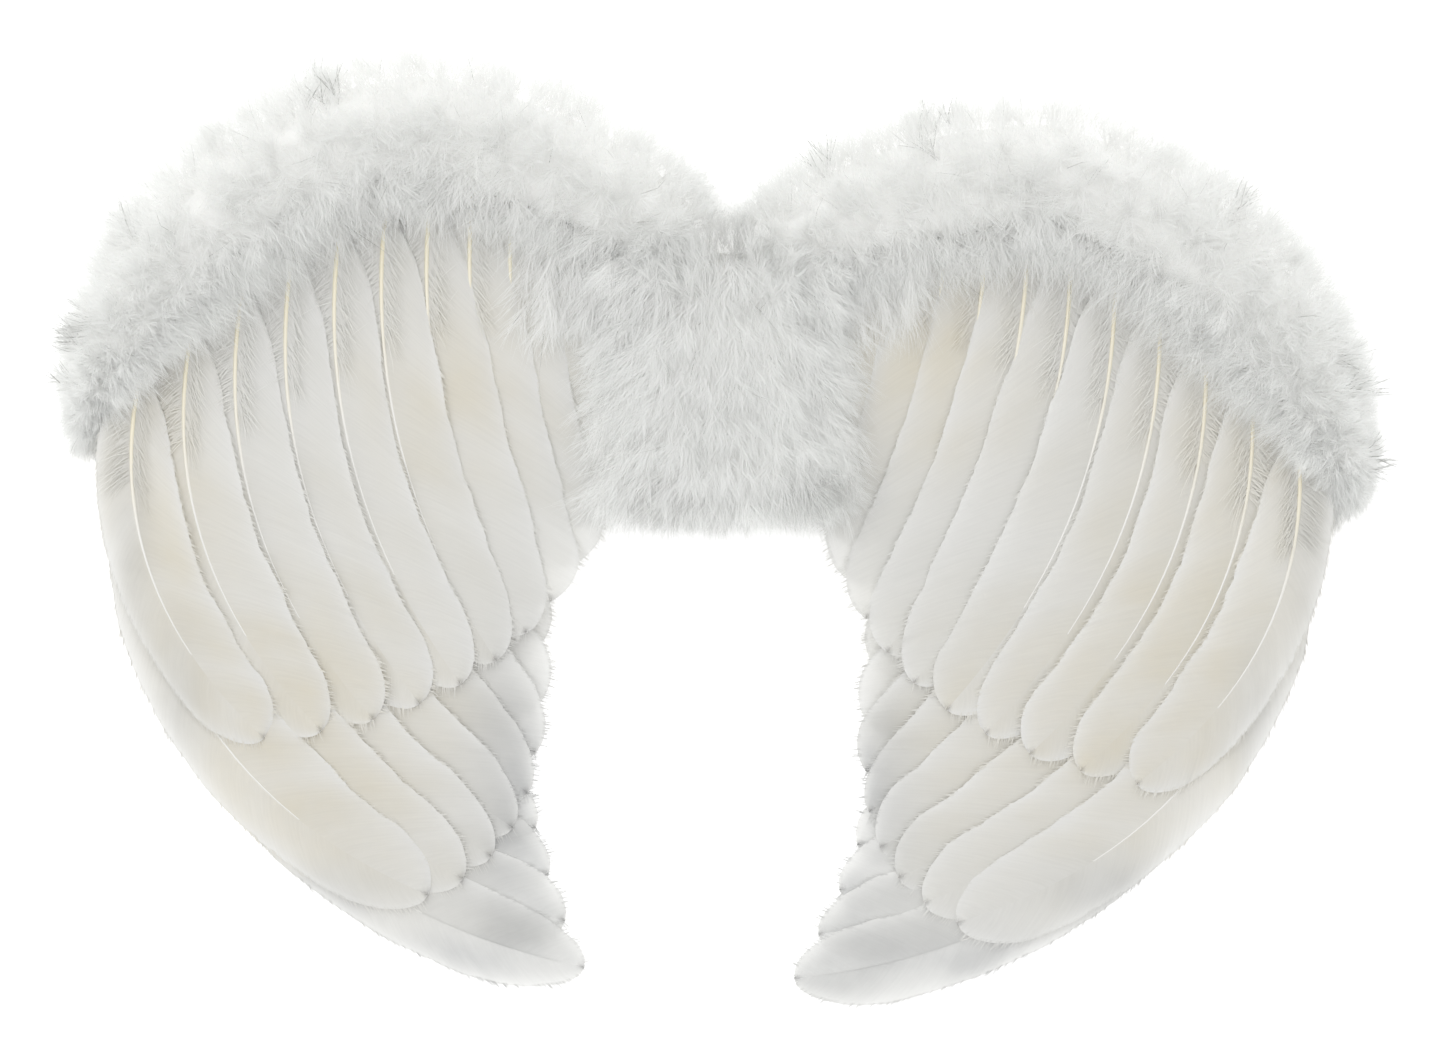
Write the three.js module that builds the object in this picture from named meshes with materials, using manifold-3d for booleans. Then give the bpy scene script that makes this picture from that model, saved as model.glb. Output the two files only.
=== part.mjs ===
// A pair of white feather costume wings, lying on their back with the feathered face up.
// +Z is up off the table, +Y is the top of the wings and +X is the wearer-side right of the picture plane.
// The origin is the middle of the flat back pad, where the wings lie against the wearer's back.
// Three rows of feathers are glued by their quills to a card board, a fluffy marabou trim hides the
// quills of the top row, a marabou pad covers the middle, and two elastic straps fold flat underneath.
import * as THREE from "three";
import { mergeVertices } from "three/addons/utils/BufferGeometryUtils.js";
import Module from "manifold-3d";

const wasm = await Module();
wasm.setup();

// Driving dimensions, in millimetres.
const halfSpan = 300; // middle of the back to the outermost fluff
const wingHeight = 440; // crest of the fluff to the wing tip
const clearance = 0.35; // gap left between pieces that touch

const boardThickness = 3; // stiff card that carries every feather
const boardRim = 7; // board edge outside the middle line of the trim
const padThickness = 2.6; // second layer of card at the middle of the back
const padHalfWidth = 45;
const padHalfHeight = 52;

const strapWidth = 18; // elastic webbing
const strapThickness = 1.2;
const strapReach = 105; // how far each flattened loop lies out from the pad
const strapSpread = 38; // anchors above and below the middle of the pad
const strapTuck = 12; // length of each end between the two card layers

const featherHalfWidth = 23;
const vaneThickness = 0.7;
const quillDiameter = 3;
const shaftTipDiameter = 1;

const trimHalfWidth = 34; // marabou trim at its fullest, without its locks
const trimLoft = 18; // height of the fluff above the top row of feathers
const middleHalfWidth = 54; // marabou pad between the wings, without its locks
const middleLoft = 13; // height of the pad above the top row of feathers
const lockLength = 11; // how far a lock of marabou stands out
const lockWidth = 32;
const lockThickness = 15;

// Heights, worked out from the layers below.
const boardUnder = padThickness;
const boardTop = boardUnder + boardThickness;
const quillLevel = boardTop + clearance + quillDiameter / 2;

// Each wing is the same pattern, mirrored by side and turned about the origin by lift, in degrees. crest raises
// the middle of its trim, as a share of wingHeight.
const WINGS = [
  { name: "left", side: -1, lift: 5, crest: 0.02 },
  { name: "right", side: 1, lift: -1, crest: 0 },
];

// Middle line of the marabou trim, from the middle of the back round to its outer end. The columns out and up
// are shares of halfSpan and wingHeight, wide and high are shares of the trim's fullest section, and rise is the
// share of the top row's height that the trim's inner edge clears.
const TRIM_LINE = [
  { out: 0.05, up: 0.131, wide: 0.6, high: 0.74, rise: 0.5 },
  { out: 0.17, up: 0.176, wide: 0.92, high: 0.86, rise: 1.0 },
  { out: 0.33, up: 0.212, wide: 1.03, high: 0.95, rise: 1.05 },
  { out: 0.5, up: 0.226, wide: 1.0, high: 1.0, rise: 1.05 },
  { out: 0.66, up: 0.184, wide: 1.0, high: 1.0, rise: 1.05 },
  { out: 0.783, up: 0.122, wide: 1.0, high: 0.98, rise: 1.05 },
  { out: 0.872, up: 0.052, wide: 0.88, high: 0.9, rise: 1.05 },
  { out: 0.924, up: -0.01, wide: 0.6, high: 0.86, rise: 1.12 },
  { out: 0.96, up: -0.064, wide: 0.37, high: 0.78, rise: 1.12 },
  { out: 0.963, up: -0.112, wide: 0.2, high: 0.42, rise: 0.1 },
];

// Section of the trim, round its outline. across is a share of its half width, outwards positive. lift is a share
// of its height, and under is true where the point follows the quills beneath instead.
const TRIM_SECTION = [
  { across: 0.36, lift: 0 },
  { across: 0.66, lift: 0 },
  { across: 0.8, lift: 0.3 },
  { across: 0.74, lift: 0.62 },
  { across: 0.4, lift: 0.84 },
  { across: -0.12, lift: 0.88 },
  { across: -0.58, lift: 0.78 },
  { across: -0.84, lift: 0.12, under: true },
  { across: -0.8, lift: 0, under: true },
  { across: -0.2, lift: 0, under: true },
  { across: 0.36, lift: 0, under: true },
];

// Lower edge of the board on one wing, from the outer end of the trim back to the pad, as shares of halfSpan and
// wingHeight.
const BOARD_EDGE = [
  { out: 0.895, up: -0.2 },
  { out: 0.83, up: -0.28 },
  { out: 0.7, up: -0.35 },
  { out: 0.54, up: -0.37 },
  { out: 0.37, up: -0.27 },
  { out: 0.22, up: -0.125 },
];

// Rows of feathers from the board upwards. Roots and tips lie on a curve from start by way of pull to end, each
// as shares of halfSpan and wingHeight, and the feathers run from the middle of the back outwards. bow is how far
// a shaft bulges outwards as a share of its length, and wide is a share of featherHalfWidth, both at the first and
// the last feather.
const ROWS = [
  {
    name: "primary",
    count: 8,
    root: { start: [0.61, -0.07], pull: [0.79, -0.105], end: [0.86, -0.205] },
    tip: { start: [0.28, -0.28], pull: [0.265, -0.46], end: [0.13, -0.622] },
    bow: [0.07, 0.165],
    wide: [0.93, 0.93],
  },
  {
    name: "secondary",
    count: 9,
    root: { start: [0.42, 0.04], pull: [0.66, 0.06], end: [0.88, -0.115] },
    tip: { start: [0.283, -0.24], pull: [0.15, -0.49], end: [0.38, -0.56] },
    bow: [0.07, 0.17],
    wide: [1, 1],
  },
  {
    name: "covert",
    count: 10,
    root: { start: [0.28, 0.17], pull: [0.55, 0.26], end: [0.88, -0.012] },
    tip: { start: [0.19, -0.16], pull: [0.24, -0.36], end: [0.65, -0.41] },
    bow: [0.05, 0.15],
    wide: [1, 0.84],
  },
];

// Outline of a feather. along is the share of its length from the quill end, inner and outer are the widths of
// the two vanes as shares of its half width, and shaft runs from 1, the quill's diameter, to 0, the tip's.
const FEATHER_STATIONS = [
  { along: 0, inner: 0, outer: 0, shaft: 1 },
  { along: 0.12, inner: 0.22, outer: 0.18, shaft: 0.85 },
  { along: 0.3, inner: 0.76, outer: 0.66, shaft: 0.6 },
  { along: 0.54, inner: 0.97, outer: 0.88, shaft: 0.4 },
  { along: 0.76, inner: 1, outer: 0.94, shaft: 0.25 },
  { along: 0.91, inner: 0.8, outer: 0.78, shaft: 0.1 },
  { along: 0.975, inner: 0.46, outer: 0.46, shaft: 0 },
  { along: 1, inner: 0.06, outer: 0.06, shaft: 0 },
];
const SEATED_SHARE = 0.05; // share of the quill that lies flat on the board
const RISEN_SHARE = 0.16; // share of the length by which a feather has reached its row's level
const FULL_SHARE = 0.22; // share of the length from which neighbours overlap

const MATERIALS = {
  card: new THREE.MeshStandardMaterial({ color: 0xe9e7e1, roughness: 0.9 }),
  elastic: new THREE.MeshStandardMaterial({ color: 0xf1f0ec, roughness: 0.85 }),
  feather: new THREE.MeshStandardMaterial({ color: 0xe8e6dd, roughness: 0.6 }),
  marabou: new THREE.MeshStandardMaterial({ color: 0xf0f0ee, roughness: 1 }),
};

const smooth = (t) => THREE.MathUtils.smoothstep(t, 0, 1);

// A point of the pattern, in shares, as millimetres on one wing.
function onWing(wing, out, up) {
  const turned = new THREE.Vector2(out * halfSpan, up * wingHeight);
  turned.rotateAround(new THREE.Vector2(0, 0), THREE.MathUtils.degToRad(wing.lift));
  return new THREE.Vector2(wing.side * turned.x, turned.y);
}

// A closed body through rings of equally many points, with flat ends. Rings are arrays of Vector3.
function loft(rings) {
  const sides = rings[0].length;
  const positions = rings.flat().flatMap((p) => [p.x, p.y, p.z]);
  const index = [];
  for (let r = 0; r + 1 < rings.length; r++) {
    for (let i = 0; i < sides; i++) {
      const a = r * sides + i;
      const b = r * sides + ((i + 1) % sides);
      index.push(a, b, b + sides, a, b + sides, a + sides);
    }
  }
  const last = (rings.length - 1) * sides;
  const caps = THREE.ShapeUtils.triangulateShape(flatten(rings[0]), []);
  for (const [a, b, c] of caps) index.push(a, c, b);
  const ends = THREE.ShapeUtils.triangulateShape(flatten(rings[rings.length - 1]), []);
  for (const [a, b, c] of ends) index.push(last + a, last + b, last + c);
  const geometry = new THREE.BufferGeometry();
  geometry.setAttribute("position", new THREE.Float32BufferAttribute(positions, 3));
  geometry.setIndex(index);
  return facingOut(geometry);
}

// The points of a flat ring in its own plane, in the order that makes the area positive.
function flatten(ring) {
  const origin = ring[0];
  const normal = new THREE.Vector3();
  for (let i = 0; i < ring.length; i++) {
    const a = ring[i].clone().sub(origin);
    const b = ring[(i + 1) % ring.length].clone().sub(origin);
    normal.add(a.cross(b));
  }
  normal.normalize();
  const u = new THREE.Vector3();
  for (const p of ring) {
    const away = p.clone().sub(origin);
    if (away.lengthSq() > u.lengthSq()) u.copy(away);
  }
  u.normalize();
  const v = normal.clone().cross(u);
  return ring.map((p) => new THREE.Vector2(p.clone().sub(origin).dot(u), p.clone().sub(origin).dot(v)));
}

// The same geometry with its faces pointing out.
function facingOut(geometry) {
  const p = geometry.getAttribute("position");
  const index = geometry.index.array;
  const [a, b, c] = [new THREE.Vector3(), new THREE.Vector3(), new THREE.Vector3()];
  let volume = 0;
  for (let i = 0; i < index.length; i += 3) {
    a.fromBufferAttribute(p, index[i]);
    b.fromBufferAttribute(p, index[i + 1]);
    c.fromBufferAttribute(p, index[i + 2]);
    volume += a.dot(b.cross(c));
  }
  if (volume > 0) return geometry;
  for (let i = 0; i < index.length; i += 3) [index[i + 1], index[i + 2]] = [index[i + 2], index[i + 1]];
  return geometry;
}

// A three.js geometry as a solid that can be joined and cut.
function solid(geometry) {
  const bare = geometry.clone();
  bare.deleteAttribute("normal");
  bare.deleteAttribute("uv");
  const merged = mergeVertices(bare, 1e-4);
  return new wasm.Manifold(
    new wasm.Mesh({
      numProp: 3,
      vertProperties: merged.getAttribute("position").array,
      triVerts: new Uint32Array(merged.index.array),
    }),
  );
}

// A solid back as a three.js geometry.
function geometryOf(body) {
  const mesh = body.getMesh();
  const geometry = new THREE.BufferGeometry();
  geometry.setAttribute("position", new THREE.BufferAttribute(mesh.vertProperties, 3));
  geometry.setIndex(new THREE.BufferAttribute(mesh.triVerts, 1));
  return geometry;
}

function named(name, geometry, material) {
  const mesh = new THREE.Mesh(geometry, material);
  mesh.name = name;
  return mesh;
}

// A flat slab of the shape, from one height to another.
function slab(shape, from, to) {
  const geometry = new THREE.ExtrudeGeometry(shape, { depth: to - from, bevelEnabled: false, curveSegments: 6 });
  return solid(geometry.translate(0, 0, from));
}

// Sections of the trim on one wing, each with its place, its outward direction and its size.
function trimSections(wing, steps, rowTop = 0) {
  const line = new THREE.CatmullRomCurve3(
    TRIM_LINE.map((row, i) => {
      const crest = wing.crest * Math.sin((Math.PI * i) / (TRIM_LINE.length - 1));
      const p = onWing(wing, row.out, row.up + crest);
      return new THREE.Vector3(p.x, p.y, 0);
    }),
  );
  const between = (column, t) => {
    const at = t * (TRIM_LINE.length - 1);
    const low = Math.min(Math.floor(at), TRIM_LINE.length - 2);
    return THREE.MathUtils.lerp(TRIM_LINE[low][column], TRIM_LINE[low + 1][column], at - low);
  };
  return Array.from({ length: steps + 1 }, (_, i) => {
    const t = i / steps;
    const along = line.getTangent(t);
    return {
      place: line.getPoint(t),
      along,
      outwards: new THREE.Vector3(-along.y, along.x, 0).multiplyScalar(wing.side),
      width: between("wide", t) * trimHalfWidth,
      height: between("high", t) * (rowTop + trimLoft),
      rise: between("rise", t),
    };
  });
}

// The feathers of one row on one wing: their shaft lines, widths and levels, from the inside out.
function rowFeathers(wing, row, level) {
  const curve = ({ start, pull, end }) =>
    new THREE.QuadraticBezierCurve(onWing(wing, ...start), onWing(wing, ...pull), onWing(wing, ...end));
  const roots = curve(row.root);
  const tips = curve(row.tip);
  return Array.from({ length: row.count }, (_, i) => {
    const t = i / (row.count - 1);
    const root = roots.getPoint(t);
    const tip = tips.getPoint(t);
    const chord = tip.clone().sub(root);
    const outwards = new THREE.Vector2(-chord.y, chord.x).multiplyScalar(wing.side);
    const bow = THREE.MathUtils.lerp(row.bow[0], row.bow[1], t);
    const pull = root.clone().add(tip).multiplyScalar(0.5).addScaledVector(outwards, 2 * bow);
    return {
      name: `${row.name}_${wing.name}_${i + 1}`,
      shaft: new THREE.QuadraticBezierCurve(root, pull, tip),
      halfWidth: featherHalfWidth * THREE.MathUtils.lerp(...row.wide, t),
      side: wing.side,
      level,
    };
  });
}

// The narrowest distance between the shafts of neighbours where they overlap.
function narrowestSpacing(feathers) {
  const samples = 9;
  let least = Infinity;
  for (let i = 0; i + 1 < feathers.length; i++) {
    const next = feathers[i + 1].shaft.getPoints(samples * 4);
    for (let s = 0; s < samples; s++) {
      const p = feathers[i].shaft.getPoint(THREE.MathUtils.lerp(FULL_SHARE, 1, s / samples));
      least = Math.min(least, ...next.map((q) => q.distanceTo(p)));
    }
  }
  return least;
}

const shaftDiameter = (share) => THREE.MathUtils.lerp(shaftTipDiameter, quillDiameter, share);

// Height that a vane must gain from one shaft to the next to pass over it.
const overlapShaft = shaftDiameter(FEATHER_STATIONS.find(({ along }) => along > FULL_SHARE).shaft);
const overlapRise = overlapShaft / 2 + vaneThickness / 2 + clearance;

// All the feathers of one wing. Each row is tilted like the slats of a shutter, with every feather's inner vane
// over its neighbour, and starts clear of the row beneath.
function wingFeathers(wing) {
  const feathers = [];
  let floor = boardTop + clearance;
  for (const row of ROWS) {
    const slope = overlapRise / narrowestSpacing(rowFeathers(wing, row, 0));
    const swing = slope * featherHalfWidth * Math.max(...row.wide);
    const level = floor + swing + overlapShaft / 2;
    feathers.push(...rowFeathers(wing, row, level).map((feather) => ({ ...feather, slope })));
    floor = level + swing + overlapShaft / 2 + clearance;
  }
  return { feathers, top: floor };
}

// A feather: two thin vanes on a shaft that swells into the quill. The quill end lies on the board.
function featherGeometry({ shaft, halfWidth, side, level, slope }) {
  const rings = FEATHER_STATIONS.map(({ along, inner, outer, shaft: share }) => {
    const at = shaft.getPoint(along);
    const way = shaft.getTangent(along);
    const outwards = new THREE.Vector2(-way.y, way.x).multiplyScalar(side);
    const radius = shaftDiameter(share) / 2;
    const risen = smooth((along - SEATED_SHARE) / (RISEN_SHARE - SEATED_SHARE));
    const middle = THREE.MathUtils.lerp(quillLevel, level, risen);
    const tilt = slope * risen;
    const vane = Math.min(vaneThickness / 2, radius);
    const innerEdge = Math.max(inner * halfWidth, radius);
    const outerEdge = Math.max(outer * halfWidth, radius);
    const point = (across, up) =>
      new THREE.Vector3(at.x + outwards.x * across, at.y + outwards.y * across, middle - tilt * across + up);
    return [
      point(-innerEdge, 0),
      point(0, -radius),
      point(outerEdge, 0),
      point(radius, vane),
      point(0, radius),
      point(-radius, vane),
    ];
  });
  return loft(rings);
}

// A lock of marabou: a flattened tuft that starts inside the fluff and points outwards. lean bends its end.
const LOCK_RINGS = [
  { reach: 0, girth: 0.85, bend: 0 },
  { reach: 0.5, girth: 1, bend: 0.06 },
  { reach: 0.8, girth: 0.7, bend: 0.2 },
  { reach: 1, girth: 0.2, bend: 0.4 },
];

function lock({ base, direction, flat, lean, length, width, thickness }) {
  const across = flat.clone().addScaledVector(direction, -flat.dot(direction)).normalize();
  const over = new THREE.Vector3().crossVectors(across, direction).normalize();
  const rings = LOCK_RINGS.map(({ reach, girth, bend }) => {
    const centre = base.clone().addScaledVector(direction, reach * length).addScaledVector(lean, bend * lockLength);
    const wide = across.clone().multiplyScalar((girth * width) / 2);
    const thick = over.clone().multiplyScalar((girth * thickness) / 2);
    return [
      centre.clone().add(wide),
      centre.clone().add(thick),
      centre.clone().sub(wide),
      centre.clone().sub(thick),
    ];
  });
  return solid(loft(rings));
}

// Tiers of locks on the trim. angle is degrees up from outwards, across and lift place the root in the section, and
// free is the length that stands out, as a share of lockLength.
const TRIM_TIERS = [
  { angle: 4, across: 0.3, lift: 0.3, reach: 0.5, free: 0.9, from: 1, every: 2 },
  { angle: 50, across: 0.2, lift: 0.5, reach: 0.5, free: 0.75, from: 2, every: 2 },
  { angle: 168, across: -0.3, lift: 0.76, reach: 0.45, free: 0.9, from: 3, every: 2 },
];
const TRIM_LOCK_STEPS = 24;
const TRIM_STEPS = 14;

// The marabou trim of one wing: an arched roll over the quills and past the edge of the board, set with locks.
function trim(wing, rowTop) {
  const quillTop = boardTop + 2 * clearance + quillDiameter;
  const under = (section, across) => {
    const share = smooth((0.36 - across) / 1.16);
    return quillTop + clearance + share * section.rise * (rowTop - quillTop);
  };
  const at = (section, across, height) =>
    section.place.clone().addScaledVector(section.outwards, across * section.width).setZ(height);
  const rings = trimSections(wing, TRIM_STEPS, rowTop).map((section) =>
    TRIM_SECTION.map(({ across, lift, under: rides }) => {
      const low = rides ? under(section, across) : 0;
      return at(section, across, low + lift * (section.height - low));
    }),
  );
  let body = solid(loft(rings));
  const sections = trimSections(wing, TRIM_LOCK_STEPS, rowTop);
  TRIM_TIERS.forEach((tier, t) => {
    for (let i = tier.from; i < TRIM_LOCK_STEPS; i += tier.every) {
      const section = sections[i];
      const fullness = section.width / trimHalfWidth;
      const angle = THREE.MathUtils.degToRad(tier.angle);
      const sway = 0.3 * Math.sin(2.4 * i + t);
      const direction = section.outwards.clone().multiplyScalar(Math.cos(angle)).setZ(Math.sin(angle));
      direction.addScaledVector(section.along, sway).normalize();
      const free = tier.free * lockLength * (0.2 + 0.8 * fullness) * (1 + 0.25 * Math.sin(3.7 * i + 2 * t));
      body = body.add(
        lock({
          base: at(section, tier.across, tier.lift * section.height),
          direction,
          flat: section.along,
          lean: new THREE.Vector3(0, 0, 0.3),
          length: tier.reach * section.width + free,
          width: lockWidth * (0.45 + 0.55 * fullness),
          thickness: lockThickness * (0.45 + 0.55 * fullness),
        }),
      );
    }
  });
  return named(`marabou_trim_${wing.name}`, geometryOf(body), MATERIALS.marabou);
}

// Sections of the marabou pad over the middle of the board, from top to bottom, as shares of wingHeight and of its
// own half width and height.
const MIDDLE_SECTIONS = [
  { up: 0.096, wide: 0.72, high: 0.8 },
  { up: 0.055, wide: 1.14, high: 0.96 },
  { up: -0.03, wide: 0.98, high: 1 },
  { up: -0.11, wide: 0.92, high: 0.86 },
  { up: -0.142, wide: 0.88, high: 0.5 },
];
const MIDDLE_ARCH = [
  { across: -0.9, lift: 0 },
  { across: -1, lift: 0.4 },
  { across: -0.74, lift: 0.82 },
  { across: -0.26, lift: 1 },
  { across: 0.26, lift: 1 },
  { across: 0.74, lift: 0.82 },
  { across: 1, lift: 0.4 },
  { across: 0.9, lift: 0 },
];
// Locks of the pad, in rows: from and to are shares of its half width, up and lift place the roots, and heading is
// degrees round from the top, at the two ends of the row.
const MIDDLE_LOCKS = [
  { count: 5, from: -0.78, to: 0.78, up: -0.125, lift: 0.34, heading: [196, 164], climb: 0.1, free: 1.5 },
  { count: 4, from: -0.6, to: 0.6, up: -0.11, lift: 0.7, heading: [200, 160], climb: 0.5, free: 0.8 },
  { count: 4, from: -0.75, to: 0.75, up: -0.045, lift: 0.84, heading: [245, 115], climb: 0.3, free: 1.2 },
  { count: 4, from: -0.75, to: 0.75, up: 0.03, lift: 0.84, heading: [280, 80], climb: 0.3, free: 1.2 },
  { count: 3, from: -0.4, to: 0.4, up: 0.09, lift: 0.86, heading: [340, 20], climb: 0.1, free: 1.5 },
];

function middlePad(rowTop) {
  const seat = boardTop + clearance;
  const height = rowTop + middleLoft - seat;
  const rings = MIDDLE_SECTIONS.map(({ up, wide, high }) =>
    MIDDLE_ARCH.map(
      ({ across, lift }) =>
        new THREE.Vector3(across * wide * middleHalfWidth, up * wingHeight, seat + lift * high * height),
    ),
  );
  let body = solid(loft(rings));
  const rootDepth = 0.5 * lockThickness;
  for (const row of MIDDLE_LOCKS) {
    for (let i = 0; i < row.count; i++) {
      const share = i / (row.count - 1);
      const turn = row.heading[0] > 270 ? row.heading[0] - 360 : row.heading[0];
      const heading = THREE.MathUtils.degToRad(THREE.MathUtils.lerp(turn, row.heading[1], share));
      const direction = new THREE.Vector3(Math.sin(heading), Math.cos(heading), row.climb).normalize();
      const base = new THREE.Vector3(
        THREE.MathUtils.lerp(row.from, row.to, share) * middleHalfWidth,
        row.up * wingHeight,
        seat + row.lift * height,
      );
      body = body.add(
        lock({
          base,
          direction,
          flat: new THREE.Vector3(Math.cos(heading), -Math.sin(heading), 0),
          lean: new THREE.Vector3(0, 0, 0.2 * Math.sin(3 * i)),
          length: rootDepth + row.free * lockLength * (1 + 0.15 * Math.sin(4.1 * i + row.count)),
          width: lockWidth,
          thickness: lockThickness,
        }),
      );
    }
  }
  return named("marabou_centre", geometryOf(body), MATERIALS.marabou);
}

// The legs of a strap, as long boxes from its tucked ends to the fold. grow widens them to cut their pocket.
function strapBody(side, grow) {
  const middle = padThickness / 2;
  const fold = new THREE.Vector2(side * (padHalfWidth + strapReach), 0);
  const thickness = strapThickness + 2 * grow;
  let body = solid(
    new THREE.CylinderGeometry(strapWidth / 2 + grow, strapWidth / 2 + grow, thickness, 16)
      .rotateX(Math.PI / 2)
      .translate(fold.x, fold.y, middle),
  );
  for (const end of [-1, 1]) {
    const anchor = new THREE.Vector2(side * (padHalfWidth - strapTuck), end * strapSpread);
    const leg = fold.clone().sub(anchor);
    const box = new THREE.BoxGeometry(leg.length() + grow, strapWidth + 2 * grow, thickness)
      .translate(-grow / 2, 0, 0)
      .rotateZ(leg.angle())
      .translate((anchor.x + fold.x) / 2, (anchor.y + fold.y) / 2, middle);
    body = body.add(solid(box));
  }
  return body;
}

// The board: one card outline for both wings, doubled by a pad at the middle that holds the strap ends.
function board() {
  const half = (wing) => {
    const edge = trimSections(wing, TRIM_STEPS).map(({ place, outwards, width }) => {
      const rim = Math.min(boardRim, width * 0.2);
      return new THREE.Vector2(place.x, place.y).addScaledVector(new THREE.Vector2(outwards.x, outwards.y), rim);
    });
    const lower = new THREE.SplineCurve(BOARD_EDGE.map(({ out, up }) => onWing(wing, out, up)));
    return [...edge, ...lower.getPoints(14)];
  };
  const [left, right] = WINGS.map(half);
  const outline = new THREE.Shape([...right, ...left.reverse()]);
  const pad = new THREE.Shape();
  pad.moveTo(-padHalfWidth, -padHalfHeight);
  pad.lineTo(padHalfWidth, -padHalfHeight);
  pad.lineTo(padHalfWidth, padHalfHeight);
  pad.lineTo(-padHalfWidth, padHalfHeight);
  let body = slab(outline, boardUnder, boardTop).add(slab(pad, 0, boardUnder));
  for (const wing of WINGS) body = body.subtract(strapBody(wing.side, clearance));
  return named("backing_board", geometryOf(body), MATERIALS.card);
}

const wings = new THREE.Group();
const feathered = WINGS.map((wing) => ({ wing, ...wingFeathers(wing) }));
wings.add(board());
wings.add(middlePad(Math.max(...feathered.map(({ top }) => top))));
for (const { wing, feathers, top } of feathered) {
  for (const feather of feathers) wings.add(named(feather.name, featherGeometry(feather), MATERIALS.feather));
  wings.add(trim(wing, top));
  wings.add(named(`shoulder_strap_${wing.name}`, geometryOf(strapBody(wing.side, 0)), MATERIALS.elastic));
}

export default wings;
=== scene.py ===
"""White feather costume wings, laid on their back on a pale floor.

Each wing carries three overlapping rows of goose feathers. A roll of marabou runs along its top edge, and a
marabou pad covers the middle. Feathers are woven from their barbs: every row of a vane's grid is one bundle
of barbs, which leaves the shaft at the barb's own angle. Marabou is built from thin loose barbs, in tufts
that fan out from the roll. Lengths are in millimetres until a mesh is made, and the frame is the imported
model's.
"""

from __future__ import annotations

import logging
import math
from dataclasses import dataclass, field
from enum import Enum

import bpy
import numpy as np
from numpy.typing import NDArray
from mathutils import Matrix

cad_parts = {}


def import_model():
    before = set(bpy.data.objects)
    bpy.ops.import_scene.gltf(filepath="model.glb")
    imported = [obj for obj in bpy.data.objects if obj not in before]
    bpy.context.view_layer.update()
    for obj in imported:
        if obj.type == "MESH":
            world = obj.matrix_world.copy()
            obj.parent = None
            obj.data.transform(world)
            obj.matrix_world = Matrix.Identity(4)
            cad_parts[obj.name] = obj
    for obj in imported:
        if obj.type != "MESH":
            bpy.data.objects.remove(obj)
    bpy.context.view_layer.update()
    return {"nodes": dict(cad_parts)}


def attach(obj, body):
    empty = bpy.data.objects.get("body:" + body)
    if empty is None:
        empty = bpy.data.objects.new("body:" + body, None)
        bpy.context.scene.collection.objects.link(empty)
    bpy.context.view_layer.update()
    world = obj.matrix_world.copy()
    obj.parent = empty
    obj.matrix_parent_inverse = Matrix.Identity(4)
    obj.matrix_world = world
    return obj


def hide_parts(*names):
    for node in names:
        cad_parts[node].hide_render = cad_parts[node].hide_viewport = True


Array = NDArray[np.float64]
Indices = NDArray[np.int64]
LOG = logging.getLogger("wings")

MM = 0.001  # one millimetre in metres
HALF_SPAN = 300.0  # middle of the back to the outermost fluff
WING_HEIGHT = 440.0  # crest of the fluff to the wing tip
BOARD_TOP = 5.6  # face of the card that the quills lie on
CLEARANCE = 0.35
QUILL_DIAMETER = 3.0
SHAFT_TIP_DIAMETER = 1.0
VANE_THICKNESS = 0.7
FEATHER_HALF_WIDTH = 23.0
TRIM_HALF_WIDTH = 34.0
TRIM_LOFT = 18.0  # height of the fluff above the top row of feathers
MIDDLE_LOFT = 13.0
PHOTO_MM = 662.4  # width of the photograph's frame at the wings
PHOTO_MIDDLE = (0.0, -65.3)  # where the middle of the photograph falls
UP = np.array([0.0, 0.0, 1.0])


# Shared arithmetic


def linear(code: str) -> tuple[float, float, float, float]:
    """Turns an sRGB hex colour into a linear one.

    Args:
        code: Six hex digits after a hash sign.

    Returns:
        Linear red, green, blue and an alpha of 1.
    """
    parts = [int(code[i : i + 2], 16) / 255 for i in (1, 3, 5)]
    return (*(c / 12.92 if c <= 0.04045 else ((c + 0.055) / 1.055) ** 2.4 for c in parts), 1.0)


def unit(v: Array) -> Array:
    """Scales vectors along the last axis to length 1."""
    return v / np.maximum(np.linalg.norm(v, axis=-1, keepdims=True), 1e-9)


def ease(x: Array | float) -> Array:
    """Smooth step 3x^2 - 2x^3 of x held between 0 and 1."""
    x = np.clip(x, 0, 1)
    return x * x * (3 - 2 * x)


def spline(points: Array, t: Array) -> Array:
    """Catmull-Rom curve through points, evenly by index.

    Args:
        points: (n, k) array of points.
        t: Shares of the curve, from 0 to 1.

    Returns:
        (len(t), k) array: P(f) = (2b + (c-a)f + (2a-5b+4c-d)f^2 + (3b-a-3c+d)f^3) / 2 between b and c.
    """
    ends = np.vstack([2 * points[:1] - points[1:2], points, 2 * points[-1:] - points[-2:-1]])
    at = np.clip(t, 0, 1) * (len(points) - 1)
    low = np.minimum(at.astype(int), len(points) - 2)
    f = (at - low)[:, None]
    a, b, c, d = ends[low], ends[low + 1], ends[low + 2], ends[low + 3]
    return (2 * b + (c - a) * f + (2 * a - 5 * b + 4 * c - d) * f**2 + (3 * b - a - 3 * c + d) * f**3) / 2


@dataclass
class Surface:
    """Triangles that become part of one mesh, with what its materials read.

    points is in millimetres, uv is one pair for each point, and tone is the share of a second colour at
    each point.
    """

    points: Array
    triangles: Indices
    uv: Array
    tone: Array
    finish: int = 0


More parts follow.
